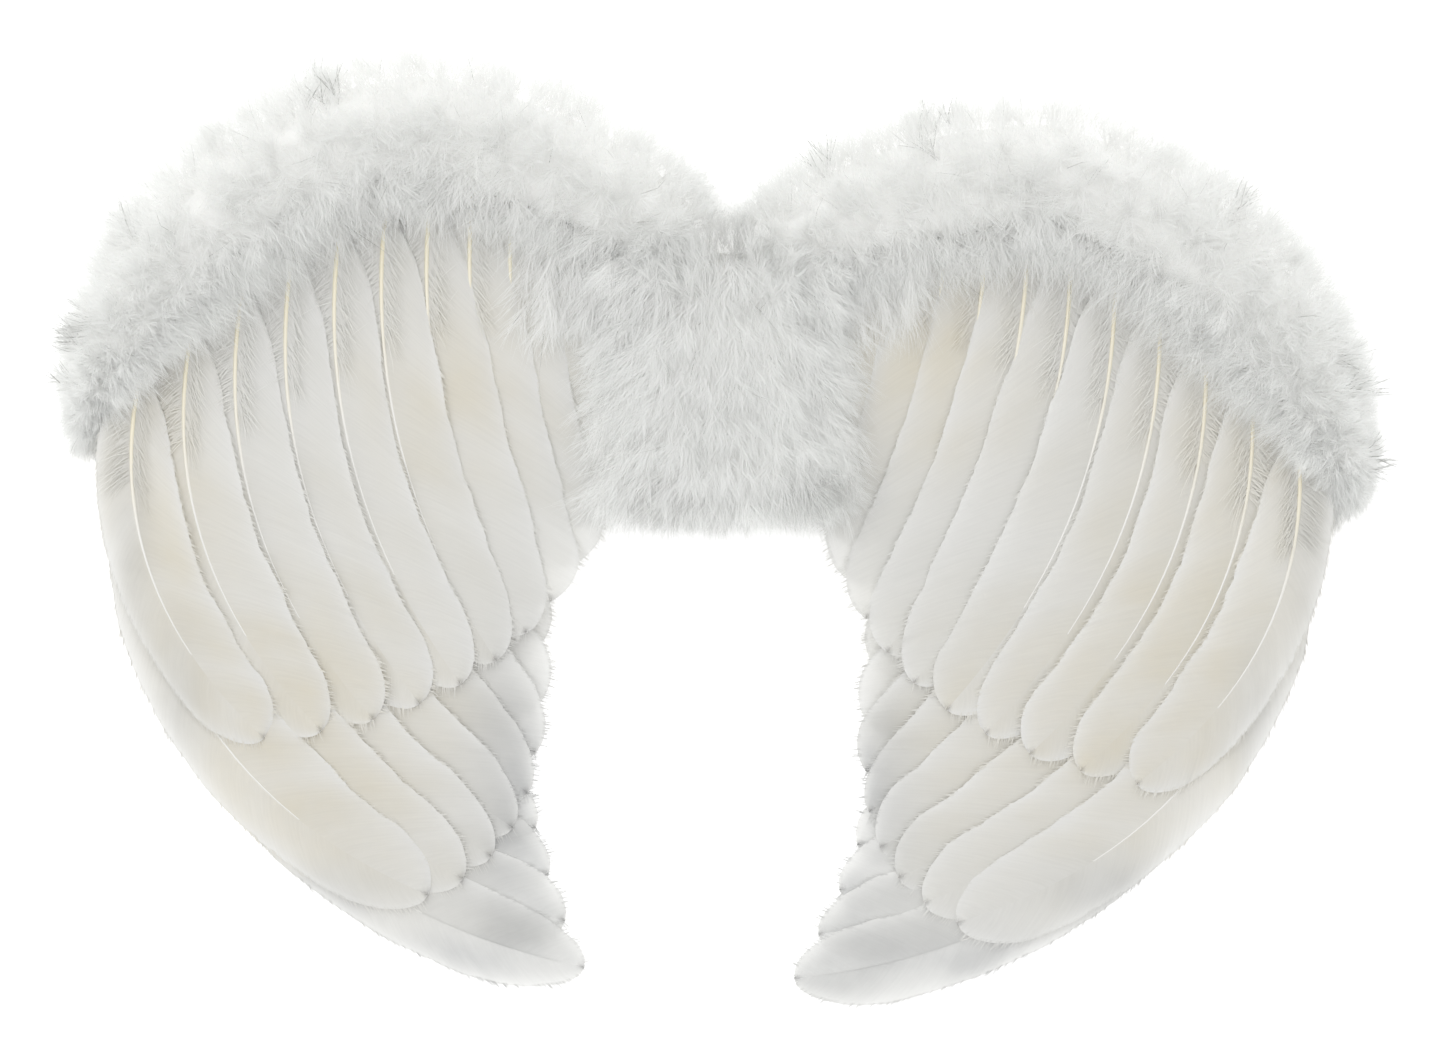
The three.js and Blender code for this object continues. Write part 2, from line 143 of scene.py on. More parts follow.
@dataclass(frozen=True)
class Zone:
    """Soft-edged oval where a colour shows: strength exp(-((x-a)/r)^2 - ((y-b)/s)^2)."""

    middle: tuple[float, float]
    radii: tuple[float, float]
    strength: float

    def at(self, points: Array) -> Array:
        """Strength of the zone at (n, 3) points."""
        away = (points[:, :2] - self.middle) / self.radii
        return self.strength * np.exp(-(away**2).sum(1))


CREAM_ZONES = (
    Zone((-118.0, -5.0), (52.0, 52.0), 0.8),
    Zone((-195.0, -165.0), (90.0, 92.0), 0.95),
    Zone((-258.0, -50.0), (32.0, 70.0), 0.7),
    Zone((95.0, 8.0), (45.0, 48.0), 0.95),
    Zone((225.0, -80.0), (60.0, 90.0), 0.8),
    Zone((150.0, -165.0), (90.0, 70.0), 0.75),
)
# Painted shade: the vanes are greyed where thin tips near the inner edges and the lower outer rims lie in
# shade.
PAINTED_SHADE_ZONES = (
    Zone((-88.0, -180.0), (24.0, 56.0), 1.1),
    Zone((-75.0, -255.0), (40.0, 18.0), 0.12),
    Zone((-272.0, -80.0), (12.0, 62.0), 0.5),
    Zone((-252.0, -160.0), (14.0, 42.0), 0.5),
    Zone((-195.0, -240.0), (30.0, 14.0), 0.8),
    Zone((-132.0, -270.0), (36.0, 12.0), 0.9),
    Zone((64.0, -185.0), (20.0, 50.0), 1.1),
    Zone((62.0, -262.0), (30.0, 16.0), 0.5),
    Zone((272.0, -85.0), (12.0, 62.0), 0.4),
    Zone((250.0, -160.0), (14.0, 42.0), 0.5),
    Zone((190.0, -234.0), (32.0, 14.0), 0.7),
    Zone((128.0, -266.0), (36.0, 12.0), 0.7),
)


def grid_triangles(rows: int, columns: int) -> Indices:
    """Two triangles for each cell of a grid of points.

    Args:
        rows: Points one way.
        columns: Points the other way, which runs fastest.

    Returns:
        (n, 3) array of point indices.
    """
    i, j = np.meshgrid(np.arange(rows - 1), np.arange(columns - 1), indexing="ij")
    a = (i * columns + j).ravel()
    b, c, d = a + 1, a + columns + 1, a + columns
    return np.concatenate([np.stack([a, b, c], 1), np.stack([a, c, d], 1)])


class Barb(Enum):
    """How a barb is divided: shares along it, and its girth at each as a share of the girth at its root."""

    LONG = ((0.0, 0.42, 0.78), (1.0, 0.85, 0.5))
    SHORT = ((0.0, 0.55), (1.0, 0.75))


FLOOR_GAP = 0.4  # least height of a barb over the floor
FLOOR_BEND = 4.0  # height below which barbs start to bend away from the floor
PILE_BEND = 48.0  # height above which barbs start to lie over
PILE_TOP = 59.0  # greatest height of a barb
GOLDEN = 0.618034  # golden section, whose multiples spread evenly between 0 and 1


def ribbons(
    root: Array,
    way: Array,
    bend: Array,
    length: Array,
    width: Array,
    facing: Array,
    tone: Array | float,
    shape: Barb,
) -> Surface:
    """Thin pointed ribbons, one for each barb.

    The middle line is root + length (way s + bend s^2) for s from 0 to 1, and the width falls from root to
    tip. Below FLOOR_BEND = b the height z becomes g + (b-g) exp((z-b)/(b-g)), so that no barb goes under the
    floor gap g. Above PILE_BEND the same rule, turned over, keeps it under PILE_TOP.

    Args:
        root: (n, 3) start points.
        way: (n, 3) unit directions at the start.
        bend: (n, 3) sideways pull, as a share of the length at the tip.
        length: (n,) lengths.
        width: (n,) widths at the root.
        facing: Directions that the flat side faces, (n, 3) or one for all.
        tone: Share of the second colour, (n,) or one for all.
        shape: How the barbs are divided.

    Returns:
        The ribbons' surface, with uv holding the share along the barb and a number that differs from barb
        to barb.
    """
    shares, girth = (np.array(v) for v in shape.value)
    n, k = len(root), len(shares)
    s = shares[None, :, None]
    middle = root[:, None] + length[:, None, None] * (way[:, None] * s + bend[:, None] * s**2)
    heading = way[:, None] + 2 * bend[:, None] * s
    side = unit(np.cross(heading, np.broadcast_to(facing, root.shape)[:, None]))
    half = side * (width[:, None] / 2 * girth)[..., None]
    tip = root + length[:, None] * (way + bend)
    edges = np.stack([middle - half, middle + half], 2).reshape(n, 2 * k, 3)
    points = np.concatenate([edges, tip[:, None]], 1)
    z, span, head = points[..., 2], FLOOR_BEND - FLOOR_GAP, PILE_TOP - PILE_BEND
    near_floor = FLOOR_GAP + span * np.exp((np.minimum(z, FLOOR_BEND) - FLOOR_BEND) / span)
    z = np.where(z < FLOOR_BEND, near_floor, z)
    near_top = PILE_TOP - head * np.exp((PILE_BEND - np.maximum(z, PILE_BEND)) / head)
    points[..., 2] = np.where(z > PILE_BEND, near_top, z)
    step = 2 * np.arange(k - 1)[:, None]
    quads = np.concatenate([step + [0, 1, 3], step + [0, 3, 2]])
    pattern = np.concatenate([quads, [[2 * k - 2, 2 * k - 1, 2 * k]]])
    triangles = (np.arange(n)[:, None, None] * (2 * k + 1) + pattern).reshape(-1, 3)
    along = np.broadcast_to(np.append(np.repeat(shares, 2), 1.0), (n, 2 * k + 1))
    number = np.broadcast_to(((np.arange(n) * GOLDEN) % 1)[:, None], (n, 2 * k + 1))
    uv = np.stack([along, number], 2).reshape(-1, 2)
    tone = np.repeat(np.broadcast_to(tone, n), 2 * k + 1)
    return Surface(points.reshape(-1, 3), triangles, uv, tone)


def make_piece(
    name: str, surfaces: list[Surface], finishes: list[bpy.types.Material], grey: float = 0.0
) -> bpy.types.Object:
    """Joins surfaces into one mesh object at the origin.

    Args:
        name: Name of the object.
        surfaces: The parts of the mesh, in millimetres.
        finishes: Materials, which each surface names by index.
        grey: Share of painted shade, in grey, all over the piece.

    Returns:
        The new object, linked to the scene.
    """
    start = np.cumsum([0] + [len(s.points) for s in surfaces[:-1]])
    points = np.concatenate([s.points for s in surfaces]) * MM
    corners = np.concatenate([s.triangles + at for s, at in zip(surfaces, start)]).astype(np.int32)
    finish = np.concatenate([np.full(len(s.triangles), s.finish, np.int32) for s in surfaces])
    mesh = bpy.data.meshes.new(name)
    mesh.vertices.add(len(points))
    mesh.vertices.foreach_set("co", points.astype(np.float32).ravel())
    mesh.loops.add(corners.size)
    mesh.loops.foreach_set("vertex_index", corners.ravel())
    mesh.polygons.add(len(corners))
    mesh.polygons.foreach_set("loop_start", np.arange(0, corners.size, 3, dtype=np.int32))
    mesh.polygons.foreach_set("use_smooth", np.ones(len(corners), bool))
    for material in finishes:
        mesh.materials.append(material)
    mesh.polygons.foreach_set("material_index", finish)
    mesh.update(calc_edges=True)
    uv = np.concatenate([s.uv for s in surfaces]).astype(np.float32)
    mesh.uv_layers.new(name="Barbs").data.foreach_set("uv", uv[corners.ravel()].ravel())
    tone = np.concatenate([s.tone for s in surfaces]).astype(np.float32)
    mesh.attributes.new("tone", "FLOAT", "POINT").data.foreach_set("value", tone)
    # The cream share is the feathers' own colour; the grey share is painted shade.
    for zones, attribute, least in ((CREAM_ZONES, "cream", 0.0), (PAINTED_SHADE_ZONES, "grey", grey)):
        share = np.clip(least + sum(zone.at(points / MM) for zone in zones), 0, 1).astype(np.float32)
        mesh.attributes.new(attribute, "FLOAT", "POINT").data.foreach_set("value", share)
    mesh.validate()
    piece = bpy.data.objects.new(name, mesh)
    bpy.context.scene.collection.objects.link(piece)
    return piece


# Finishes


def add_node(
    tree: bpy.types.NodeTree,
    kind: str,
    output: str | int | None,
    inputs: dict[str | int, bpy.types.NodeSocket | str] | None = None,
    **settings: object,
) -> bpy.types.NodeSocket | None:
    """Adds a shader node.

    Args:
        tree: The material's nodes.
        kind: The node's type after ShaderNode, such as Bump.
        output: Name or index of the output to return, or None for the last node of a material.
        inputs: Input name or index to the output socket that feeds it, or to a hex colour.
        **settings: Properties of the node, or values of its inputs with spaces written as underscores.

    Returns:
        The output socket, or None.
    """
    node = tree.nodes.new(f"ShaderNode{kind}")
    for key, value in settings.items():
        if hasattr(node, key):
            setattr(node, key, value)
        else:
            node.inputs[key.replace("_", " ")].default_value = value
    for key, value in (inputs or {}).items():
        if isinstance(value, str):
            node.inputs[key].default_value = linear(value)
        else:
            tree.links.new(value, node.inputs[key])
    return None if output is None else node.outputs[output]


def new_material(name: str, colour: str) -> tuple[bpy.types.Material, bpy.types.NodeTree]:
    """Makes an empty node material with its viewport colour set."""
    material = bpy.data.materials.new(name)
    material.use_nodes = True
    material.diffuse_color = linear(colour)
    material.node_tree.nodes.clear()
    return material, material.node_tree


FIRST, SECOND = 6, 7  # inputs of a mix node that take its two colours
MIXED = 2  # output of a mix node that gives a colour


@dataclass(frozen=True)
class VaneFinish:
    """Bleached goose vane: barbs hooked into a thin, slightly satin web that lets some light through.

    The cream left by the bleach shows in patches. The grey is painted shade, on the thin tips near the inner
    edge and the lower outer rim, which lie in shade, and over the primaries. The edge colour is a painted
    highlight along the vane's edges. patch and streak are the sizes, in millimetres, of the patches and of
    the bundles of barbs.
    """

    name: str = "goose_vane_bleached"
    white: str = "#E8E8E5"
    cream: str = "#E5DFCE"
    # Colour of the painted shade.
    grey: str = "#B2B3B3"
    # Painted highlight: the lighter colour mixed in along the vane's edges and on its loose ends; the random
    # paler bundles and the down take it too.
    edge: str = "#F0F0EE"
    roughness: float = 0.7
    light_through: float = 0.25
    patch: float = 22.0
    streak: float = 1.6

    def material(self) -> bpy.types.Material:
        """Builds the material: cream patches, painted grey shade, painted highlit edges and streaks along the
        barbs.
        """
        material, tree = new_material(self.name, self.white)
        where = add_node(tree, "TexCoord", "Object")
        patch = add_node(tree, "TexNoise", "Fac", {"Vector": where}, Scale=1 / (self.patch * MM), Detail=3.0)
        broken = add_node(
            tree, "MapRange", "Result", {"Value": patch}, From_Min=0.3, From_Max=0.7, To_Min=0.7, To_Max=1.1
        )
        colour: bpy.types.NodeSocket | str = self.white
        for attribute, stain in (("cream", self.cream), ("grey", self.grey)):
            share = add_node(tree, "Attribute", "Fac", attribute_name=attribute)
            part = add_node(
                tree, "Math", "Value", {0: share, 1: broken}, operation="MULTIPLY", use_clamp=True
            )
            colour = add_node(
                tree, "Mix", MIXED, {"Factor": part, FIRST: colour, SECOND: stain}, data_type="RGBA"
            )
        # The tone attribute mixes in the edge colour: a painted highlight at the edges, and paler bundles at
        # random.
        thin = add_node(tree, "Attribute", "Fac", attribute_name="tone")
        edged = add_node(
            tree, "Mix", MIXED, {"Factor": thin, FIRST: colour, SECOND: self.edge}, data_type="RGBA"
        )
        barbs = add_node(tree, "UVMap", "UV", uv_map="Barbs")
        stretch = add_node(tree, "Mapping", "Vector", {"Vector": barbs}, Scale=(100 / self.streak, 3.0, 1.0))
        streaks = add_node(tree, "TexNoise", "Fac", {"Vector": stretch}, Scale=1.0, Detail=4.0)
        lines = add_node(tree, "MapRange", "Result", {"Value": streaks}, To_Min=0.94, To_Max=1.04)
        shade = add_node(tree, "VectorMath", "Vector", {0: edged, 1: lines}, operation="MULTIPLY")
        relief = add_node(tree, "Bump", "Normal", {"Height": streaks}, Strength=0.25, Distance=0.3 * MM)
        web = add_node(
            tree,
            "BsdfPrincipled",
            "BSDF",
            {"Base Color": shade, "Normal": relief},
            Roughness=self.roughness,
            Specular_IOR_Level=0.25,
        )
        through = add_node(tree, "BsdfTranslucent", "BSDF", {"Color": shade})
        both = add_node(tree, "MixShader", "Shader", {1: web, 2: through}, Fac=self.light_through)
        add_node(tree, "OutputMaterial", None, {"Surface": both})
        return material


@dataclass(frozen=True)
class QuillFinish:
    """Keratin shaft: horn-like, cream and smooth at the quill, and as pale as the vane towards its tip."""

    name: str = "keratin_quill"
    pale: str = "#EAE9E5"
    deep: str = "#EBE3C8"
    roughness: float = 0.42

    def material(self) -> bpy.types.Material:
        """Builds the material: cream towards the root, paler towards the tip, with long faint grain."""
        material, tree = new_material(self.name, self.pale)
        barbs = add_node(tree, "UVMap", "UV", uv_map="Barbs")
        stretch = add_node(tree, "Mapping", "Vector", {"Vector": barbs}, Scale=(12.0, 30.0, 1.0))
        grain = add_node(tree, "TexNoise", "Fac", {"Vector": stretch}, Scale=1.0, Detail=3.0)
        relief = add_node(tree, "Bump", "Normal", {"Height": grain}, Strength=0.2, Distance=0.2 * MM)
        tone = add_node(tree, "Attribute", "Fac", attribute_name="tone")
        colour = add_node(
            tree, "Mix", MIXED, {"Factor": tone, FIRST: self.pale, SECOND: self.deep}, data_type="RGBA"
        )
        horn = add_node(
            tree, "BsdfPrincipled", "BSDF", {"Base Color": colour, "Normal": relief}, Roughness=self.roughness
        )
        add_node(tree, "OutputMaterial", None, {"Surface": horn})
        return material


@dataclass(frozen=True)
class DownFinish:
    """Marabou down: loose barbs with no hooks, matte and so fine that light goes through the pile."""

    name: str = "marabou_down"
    tip: str = "#FCFDFC"
    root: str = "#FAFAF9"
    # Colour of the painted shade: grey barbs that stand for shadowed gaps between tufts, and greyer barbs
    # along shaded edges.
    grey: str = "#9A9A96"
    roughness: float = 0.9
    light_through: float = 0.5

    def material(self) -> bpy.types.Material:
        """Builds the material: whiter tips, and painted shade in grey where the tone attribute asks for it.
        """
        material, tree = new_material(self.name, self.tip)
        barbs = add_node(tree, "UVMap", "UV", uv_map="Barbs")
        along = add_node(tree, "SeparateXYZ", "X", {"Vector": barbs})
        white = add_node(
            tree, "Mix", MIXED, {"Factor": along, FIRST: self.root, SECOND: self.tip}, data_type="RGBA"
        )
        tone = add_node(tree, "Attribute", "Fac", attribute_name="tone")
        colour = add_node(
            tree, "Mix", MIXED, {"Factor": tone, FIRST: white, SECOND: self.grey}, data_type="RGBA"
        )
        barb = add_node(
            tree,
            "BsdfPrincipled",
            "BSDF",
            {"Base Color": colour},
            Roughness=self.roughness,
            Specular_IOR_Level=0.1,
        )
        through = add_node(tree, "BsdfTranslucent", "BSDF", {"Color": colour})
        both = add_node(tree, "MixShader", "Shader", {1: barb, 2: through}, Fac=self.light_through)
        add_node(tree, "OutputMaterial", None, {"Surface": both})
        return material


@dataclass(frozen=True)
class MottledFinish:
    """Matte stuff of two near whites, mixed by noise that also raises a low relief.

    plain is the colour shown without nodes, and low and high are those at the noise's two ends. grain is
    the size of the mottle and depth is that of the relief, both in millimetres. strength is the relief's
    share, and harshness the noise's own roughness.
    """

    name: str
    plain: str
    low: str
    high: str
    grain: float
    harshness: float
    depth: float
    strength: float
    roughness: float

    def material(self) -> bpy.types.Material:
        """Builds the material from the noise."""
        material, tree = new_material(self.name, self.plain)
        where = add_node(tree, "TexCoord", "Object")
        mottle = add_node(
            tree,
            "TexNoise",
            "Fac",
            {"Vector": where},
            Scale=1 / (self.grain * MM),
            Detail=5.0,
            Roughness=self.harshness,
        )
        colour = add_node(
            tree, "Mix", MIXED, {"Factor": mottle, FIRST: self.low, SECOND: self.high}, data_type="RGBA"
        )
        relief = add_node(
            tree, "Bump", "Normal", {"Height": mottle}, Strength=self.strength, Distance=self.depth * MM
        )
        body = add_node(
            tree, "BsdfPrincipled", "BSDF", {"Base Color": colour, "Normal": relief}, Roughness=self.roughness
        )
        add_node(tree, "OutputMaterial", None, {"Surface": body})
        return material


# Packed underdown at the heart of the marabou: barbs too dense to tell apart, with a fine nap.
UNDERDOWN = MottledFinish("marabou_underdown", "#FAFAF8", "#EEEEEC", "#FAFAF8", 2.2, 0.7, 1.2, 0.5, 1.0)
# Pulp card: matte, with a faint mottle of fibres about 3 mm long.
CARD_WHITE = "#E9E7E1"
PULP_CARD = MottledFinish(
    "pulp_card_white", CARD_WHITE, CARD_WHITE, "#DCD9D0", 1000 / 330, 0.5, 0.3, 0.25, 0.92
)


@dataclass(frozen=True)
class ElasticFinish:
    """Woven elastic webbing: cotton-covered rubber cords with a crosswise weave, spaced in millimetres."""

    name: str = "woven_elastic"
    high: str = "#F1F0EC"
    low: str = "#D8D6CF"
    cord: float = 1.5
    pick: float = 0.8
    waves: float = 3.2  # bands to a unit in a wave texture of scale 1
    roughness: float = 0.85

    def material(self) -> bpy.types.Material:
        """Builds the material: a small two-way weave that sinks between the cords."""
        material, tree = new_material(self.name, self.high)
        where = add_node(tree, "TexCoord", "Object")
        ribs, picks = (
            add_node(
                tree,
                "TexWave",
                "Fac",
                {"Vector": where},
                bands_direction=way,
                Scale=1 / (pitch * MM) / self.waves,
                Distortion=0.6,
            )
            for way, pitch in (("Y", self.cord), ("X", self.pick))
        )
        weave = add_node(tree, "Math", "Value", {0: ribs, 1: picks}, operation="MULTIPLY")
        colour = add_node(
            tree, "Mix", MIXED, {"Factor": weave, FIRST: self.low, SECOND: self.high}, data_type="RGBA"
        )
        relief = add_node(tree, "Bump", "Normal", {"Height": weave}, Strength=0.5, Distance=0.3 * MM)
        cloth = add_node(
            tree,
            "BsdfPrincipled",
            "BSDF",
            {"Base Color": colour, "Normal": relief},
            Roughness=self.roughness,
            Sheen_Weight=0.2,
        )
        add_node(tree, "OutputMaterial", None, {"Surface": cloth})
        return material


@dataclass(frozen=True)
class FloorFinish:
    """Pale studio sweep: matte white that glows a little, so that shadows on it stay faint."""

    name: str = "studio_floor"
    colour: str = "#F2F2F2"
    glow: float = 0.5

    def material(self) -> bpy.types.Material:
        """Builds the material: a plain matte white with a little light of its own."""
        material, tree = new_material(self.name, self.colour)
        sweep = add_node(
            tree,
            "BsdfPrincipled",
            "BSDF",
            {"Base Color": self.colour, "Emission Color": "#FFFFFF"},
            Emission_Strength=self.glow,
            Roughness=1.0,
            Specular_IOR_Level=0.0,
        )
        add_node(tree, "OutputMaterial", None, {"Surface": sweep})
        return material


@dataclass
class Finishes:
    """The materials of the wings, made once and shared."""

    vane: bpy.types.Material
    quill: bpy.types.Material
    down: bpy.types.Material
    pile: bpy.types.Material
    card: bpy.types.Material
    elastic: bpy.types.Material


# Wings


@dataclass(frozen=True)
class Wing:
    """One wing: the shared pattern, mirrored by side, turned about the origin by lift in degrees.

    crest raises the middle of its trim, and fans are the shares of the trim where coarse plumes stand out
    of the rim.
    """

    name: str
    side: int
    lift: float
    crest: float
    fans: tuple[float, ...]

    def place(self, out: Array, up: Array) -> Array:
        """Points of the pattern, which are shares of the half span and the height, in millimetres."""
        turn = math.radians(self.lift)
        x, y = np.asarray(out) * HALF_SPAN, np.asarray(up) * WING_HEIGHT
        across = x * math.cos(turn) - y * math.sin(turn)
        return np.stack([self.side * across, x * math.sin(turn) + y * math.cos(turn)], -1)


WINGS = (
    Wing("left", -1, 5.0, 0.02, (0.41, 0.43, 0.66, 0.78, 0.81, 0.84, 0.9)),
    Wing("right", 1, -1.0, 0.0, (0.12, 0.21, 0.23, 0.5, 0.72, 0.78, 0.9)),
)


class RowKind(Enum):
    """Rows of feathers, from the card upwards."""

    PRIMARY = "primary"
    SECONDARY = "secondary"
    COVERT = "covert"


@dataclass(frozen=True)
class FeatherRow:
    """A row's pattern: where its roots and tips run, as start, pull and end of a curve, in shares.

    bow is how far a shaft bulges outwards as a share of its length, and wide is a share of the full half
    width, both at the first and the last feather.
    """

    kind: RowKind
    count: int
    root: tuple[tuple[float, float], ...]
    tip: tuple[tuple[float, float], ...]
    bow: tuple[float, float]
    wide: tuple[float, float]


ROWS = (
    FeatherRow(
        RowKind.PRIMARY,
        8,
        ((0.61, -0.07), (0.79, -0.105), (0.86, -0.205)),
        ((0.28, -0.28), (0.265, -0.46), (0.13, -0.622)),
        (0.07, 0.165),
        (0.93, 0.93),
    ),
    FeatherRow(
        RowKind.SECONDARY,
        9,
        ((0.42, 0.04), (0.66, 0.06), (0.88, -0.115)),
        ((0.283, -0.24), (0.15, -0.49), (0.38, -0.56)),
        (0.07, 0.17),
        (1.0, 1.0),
    ),
    FeatherRow(
        RowKind.COVERT,
        10,
        ((0.28, 0.17), (0.55, 0.26), (0.88, -0.012)),
        ((0.19, -0.16), (0.24, -0.36), (0.65, -0.41)),
        (0.05, 0.15),
        (1.0, 0.84),
    ),
)
RISE_SHARES = {  # shares of the shaft between which a feather rises from the card
    RowKind.PRIMARY: (0.05, 0.16),
    RowKind.SECONDARY: (0.05, 0.16),
    RowKind.COVERT: (0.0, 0.09),
}
SAG = {  # fall of the tip in most of a row, and in its two outermost feathers
    RowKind.PRIMARY: (2.0, 2.0),
    RowKind.SECONDARY: (8.4, 7.0),
    RowKind.COVERT: (10.4, 7.9),
}
FULL_SHARE = 0.22  # share of the shaft from which neighbours overlap
VANE_START = 0.078  # share of the shaft at which the first barb ends
BARB_ANGLE = math.radians(40)  # of the barbs to the shaft
OVERLAP_SHAFT = SHAFT_TIP_DIAMETER + 0.6 * (QUILL_DIAMETER - SHAFT_TIP_DIAMETER)
QUILL_LEVEL = BOARD_TOP + CLEARANCE + QUILL_DIAMETER / 2


def arc(points: Array, t: Array) -> Array:
    """Quadratic curve (1-t)^2 a + 2t(1-t) b + t^2 c through points a, b, c."""
    a, b, c = points
    t = t[..., None]
    return (1 - t) ** 2 * a + 2 * t * (1 - t) * b + t**2 * c


@dataclass
class Feather:
    """One goose feather: a vane of barbs on a bowed shaft, with down at its root.

    knots are the shaft's start, pull and end. level is the height of the shaft once it has risen from the
    card, and slope is the fall of the vane outwards, which carries its inner half over its neighbour. lap
    is how much wider the inner half is along its middle stretch, so that it covers its neighbour's shaft.
    """

    node: str
    side: int
    knots: Array
    half_width: float
    level: float
    slope: float
    kind: RowKind
    seed: int
    lap: float
    sag: float
    barb_rows: int = 96
    barb_steps: int = 8
    splits: tuple[int, int] = (4, 9)

    def __post_init__(self) -> None:
        """Sets up the feather's own random numbers and its length."""
        self.rng = np.random.default_rng(self.seed)
        line = arc(self.knots, np.linspace(0, 1, 40))
        self.length = float(np.linalg.norm(np.diff(line, axis=0), axis=1).sum())

    def surface(self, t: Array, across: Array, lift: Array | float = 0.0) -> Array:
        """Points at share t of the shaft and across millimetres outwards from it, on the tilted vane."""
        a, b, c = self.knots
        way = unit(2 * (1 - t)[..., None] * (b - a) + 2 * t[..., None] * (c - b))
        outwards = np.stack([-way[..., 1], way[..., 0]], -1) * self.side
        flat = arc(self.knots, t) + outwards * across[..., None]
        seated, up = RISE_SHARES[self.kind]
        risen = ease((t - seated) / (up - seated))
        height = QUILL_LEVEL + (self.level - QUILL_LEVEL) * risen - self.slope * risen * across + lift
        return np.concatenate([flat, height[..., None]], -1)

    def droop(self, t: Array) -> Array:
        """Sag of the thin outer end, which rests on the row beneath."""
        return self.sag * ease((t - 0.35) / 0.65)

    @staticmethod
    def outline(t: Array, blunt: float) -> Array:
        """Width of the vane as a share: 1 - (1-x)^3, times a quarter of an ellipse from share blunt on."""
        grow = 1 - (1 - np.clip((t - 0.05) / 0.26, 0, 1)) ** 3
        close = np.sqrt(np.clip(1 - (np.clip(t - blunt, 0, None) / (1 - blunt)) ** 2, 0, 1))
        return grow * close

    def vane(self, hand: int) -> list[Surface]:
        """One half of the vane, woven from bundles of barbs, with loose barb ends along its edge.

        A bundle ends at share e of the shaft, at the outline's width, and starts at a = e - width /
        tan(angle). Along it, the share of the shaft is a + (e-a) s^1.2 and the width is s + 0.12 s(1-s).
        Where the web has come unhooked, the bundles on either side lie at slightly different heights.

        Args:
            hand: 1 for the outer half, -1 for the inner.

        Returns:
            The half vane and its loose ends.
        """
        rng, rows, steps = self.rng, self.barb_rows, self.barb_steps
        reach = self.half_width * (0.9 if hand > 0 else 1.0)
        x = np.linspace(0, 1, rows)
        end = VANE_START + (1 - VANE_START) * (1 - (1 - x) ** 1.3)
        wide = self.outline(end, (0.85 if hand > 0 else 0.88) + rng.uniform(-0.03, 0.02))
        lean = min(reach / (self.length * math.tan(BARB_ANGLE)), 0.17)
        start = end - wide * lean
        ragged = 1 - 0.05 * np.interp(x, np.linspace(0, 1, 23), rng.random(23)) - 0.02 * rng.random(rows)
        count = int(rng.integers(*self.splits))
        cuts = np.sort(rng.choice(np.arange(int(rows * 0.3), rows - 6), count, replace=False))
        bundle = np.searchsorted(cuts, np.arange(rows), side="right")
        s = np.linspace(0, 1, steps)[None, :]
        share = np.clip(start[:, None] + (end - start)[:, None] * s**1.2, 0, 1)
        lap = self.lap * ease((end - 0.2) / 0.22) * (1 - ease((end - 0.68) / 0.27)) if hand < 0 else 0.0
        width = reach * (wide * ragged * (1 + lap))[:, None] * (s + 0.12 * s * (1 - s))
        heights = rng.normal(0, 0.24, len(cuts) + 1)[bundle]
        flutter = (heights + 0.2 * np.sin(x * 21 + rng.uniform(0, 6)))[:, None] * s**2
        curl = 0.5 * s**2 if hand > 0 else (2.3 if self.lap else 1.0) * s**3
        points = self.surface(share, hand * width, flutter - self.droop(share) - curl)
        triangles = grid_triangles(rows, steps)
        if hand * self.side > 0:
            triangles = triangles[:, ::-1]
        along = (start * self.length / 100)[:, None]
        uv = np.stack(np.broadcast_arrays(along, 0.5 + 0.5 * hand * s), -1) + rng.random(2)
        # Paler bundles at random, plus a painted highlight that grows towards the vane's edge as s^4.
        pale = 0.45 * np.interp(x, np.linspace(0, 1, 12), rng.random(12))
        pale += rng.uniform(0, 0.12, len(cuts) + 1)[bundle]
        thin = np.clip(0.6 * s**4 + pale[:, None], 0, 1).ravel()
        web = Surface(points.reshape(-1, 3), triangles, uv.reshape(-1, 2), thin)
        count = 3 * rows
        own = rng.integers(int(rows * 0.1), rows - 1, count)
        mix = rng.random((count, 1))
        edge = points[own, -1] * (1 - mix) + points[own + 1, -1] * mix
        way = unit(points[own, -1] - points[own, -3])
        # The loose ends take half of the painted edge highlight.
        ends = ribbons(
            edge - 1.5 * way,
            way,
            rng.normal(0, 0.08, (count, 3)),
            rng.uniform(2.2, 5.4, count) * (1 + 0.5 * (own / rows) ** 6),
            rng.uniform(0.2, 0.45, count),
            UP,
            0.5,
            Barb.SHORT,
        )
        return [web, ends]

    def shaft(self) -> Surface:
        """The quill and shaft: a closed tube of radius 1.0 (1-t)^1.2 + 0.22, a little flattened."""
        rings, sides = 26, 6
        t = np.linspace(0, 0.985, rings)
        radius = 1.0 * (1 - t) ** 1.2 + 0.22
        radius[[0, -1]] = 0.02
        turn = np.linspace(0, 2 * np.pi, sides, endpoint=False)[None, :]
        across = radius[:, None] * np.cos(turn) * self.side
        sunk = 0.25 - 0.55 * ease((t - 0.2) / 0.3) - self.droop(t)
        up = radius[:, None] * np.sin(turn) * 0.85 + sunk[:, None]
        share = np.broadcast_to(t[:, None], across.shape)
        points = self.surface(share, across, up)
        points = np.concatenate([points, points[:, :1]], 1).reshape(-1, 3)
        uv = np.stack(np.broadcast_arrays(t[:, None] * self.length / 100, np.linspace(0, 1, sides + 1)), -1)
        tone = np.broadcast_to(np.clip(1.35 - 3.0 * t, 0, 1)[:, None], (rings, sides + 1))
        return Surface(points, grid_triangles(rings, sides + 1), uv.reshape(-1, 2), tone.ravel(), 1)

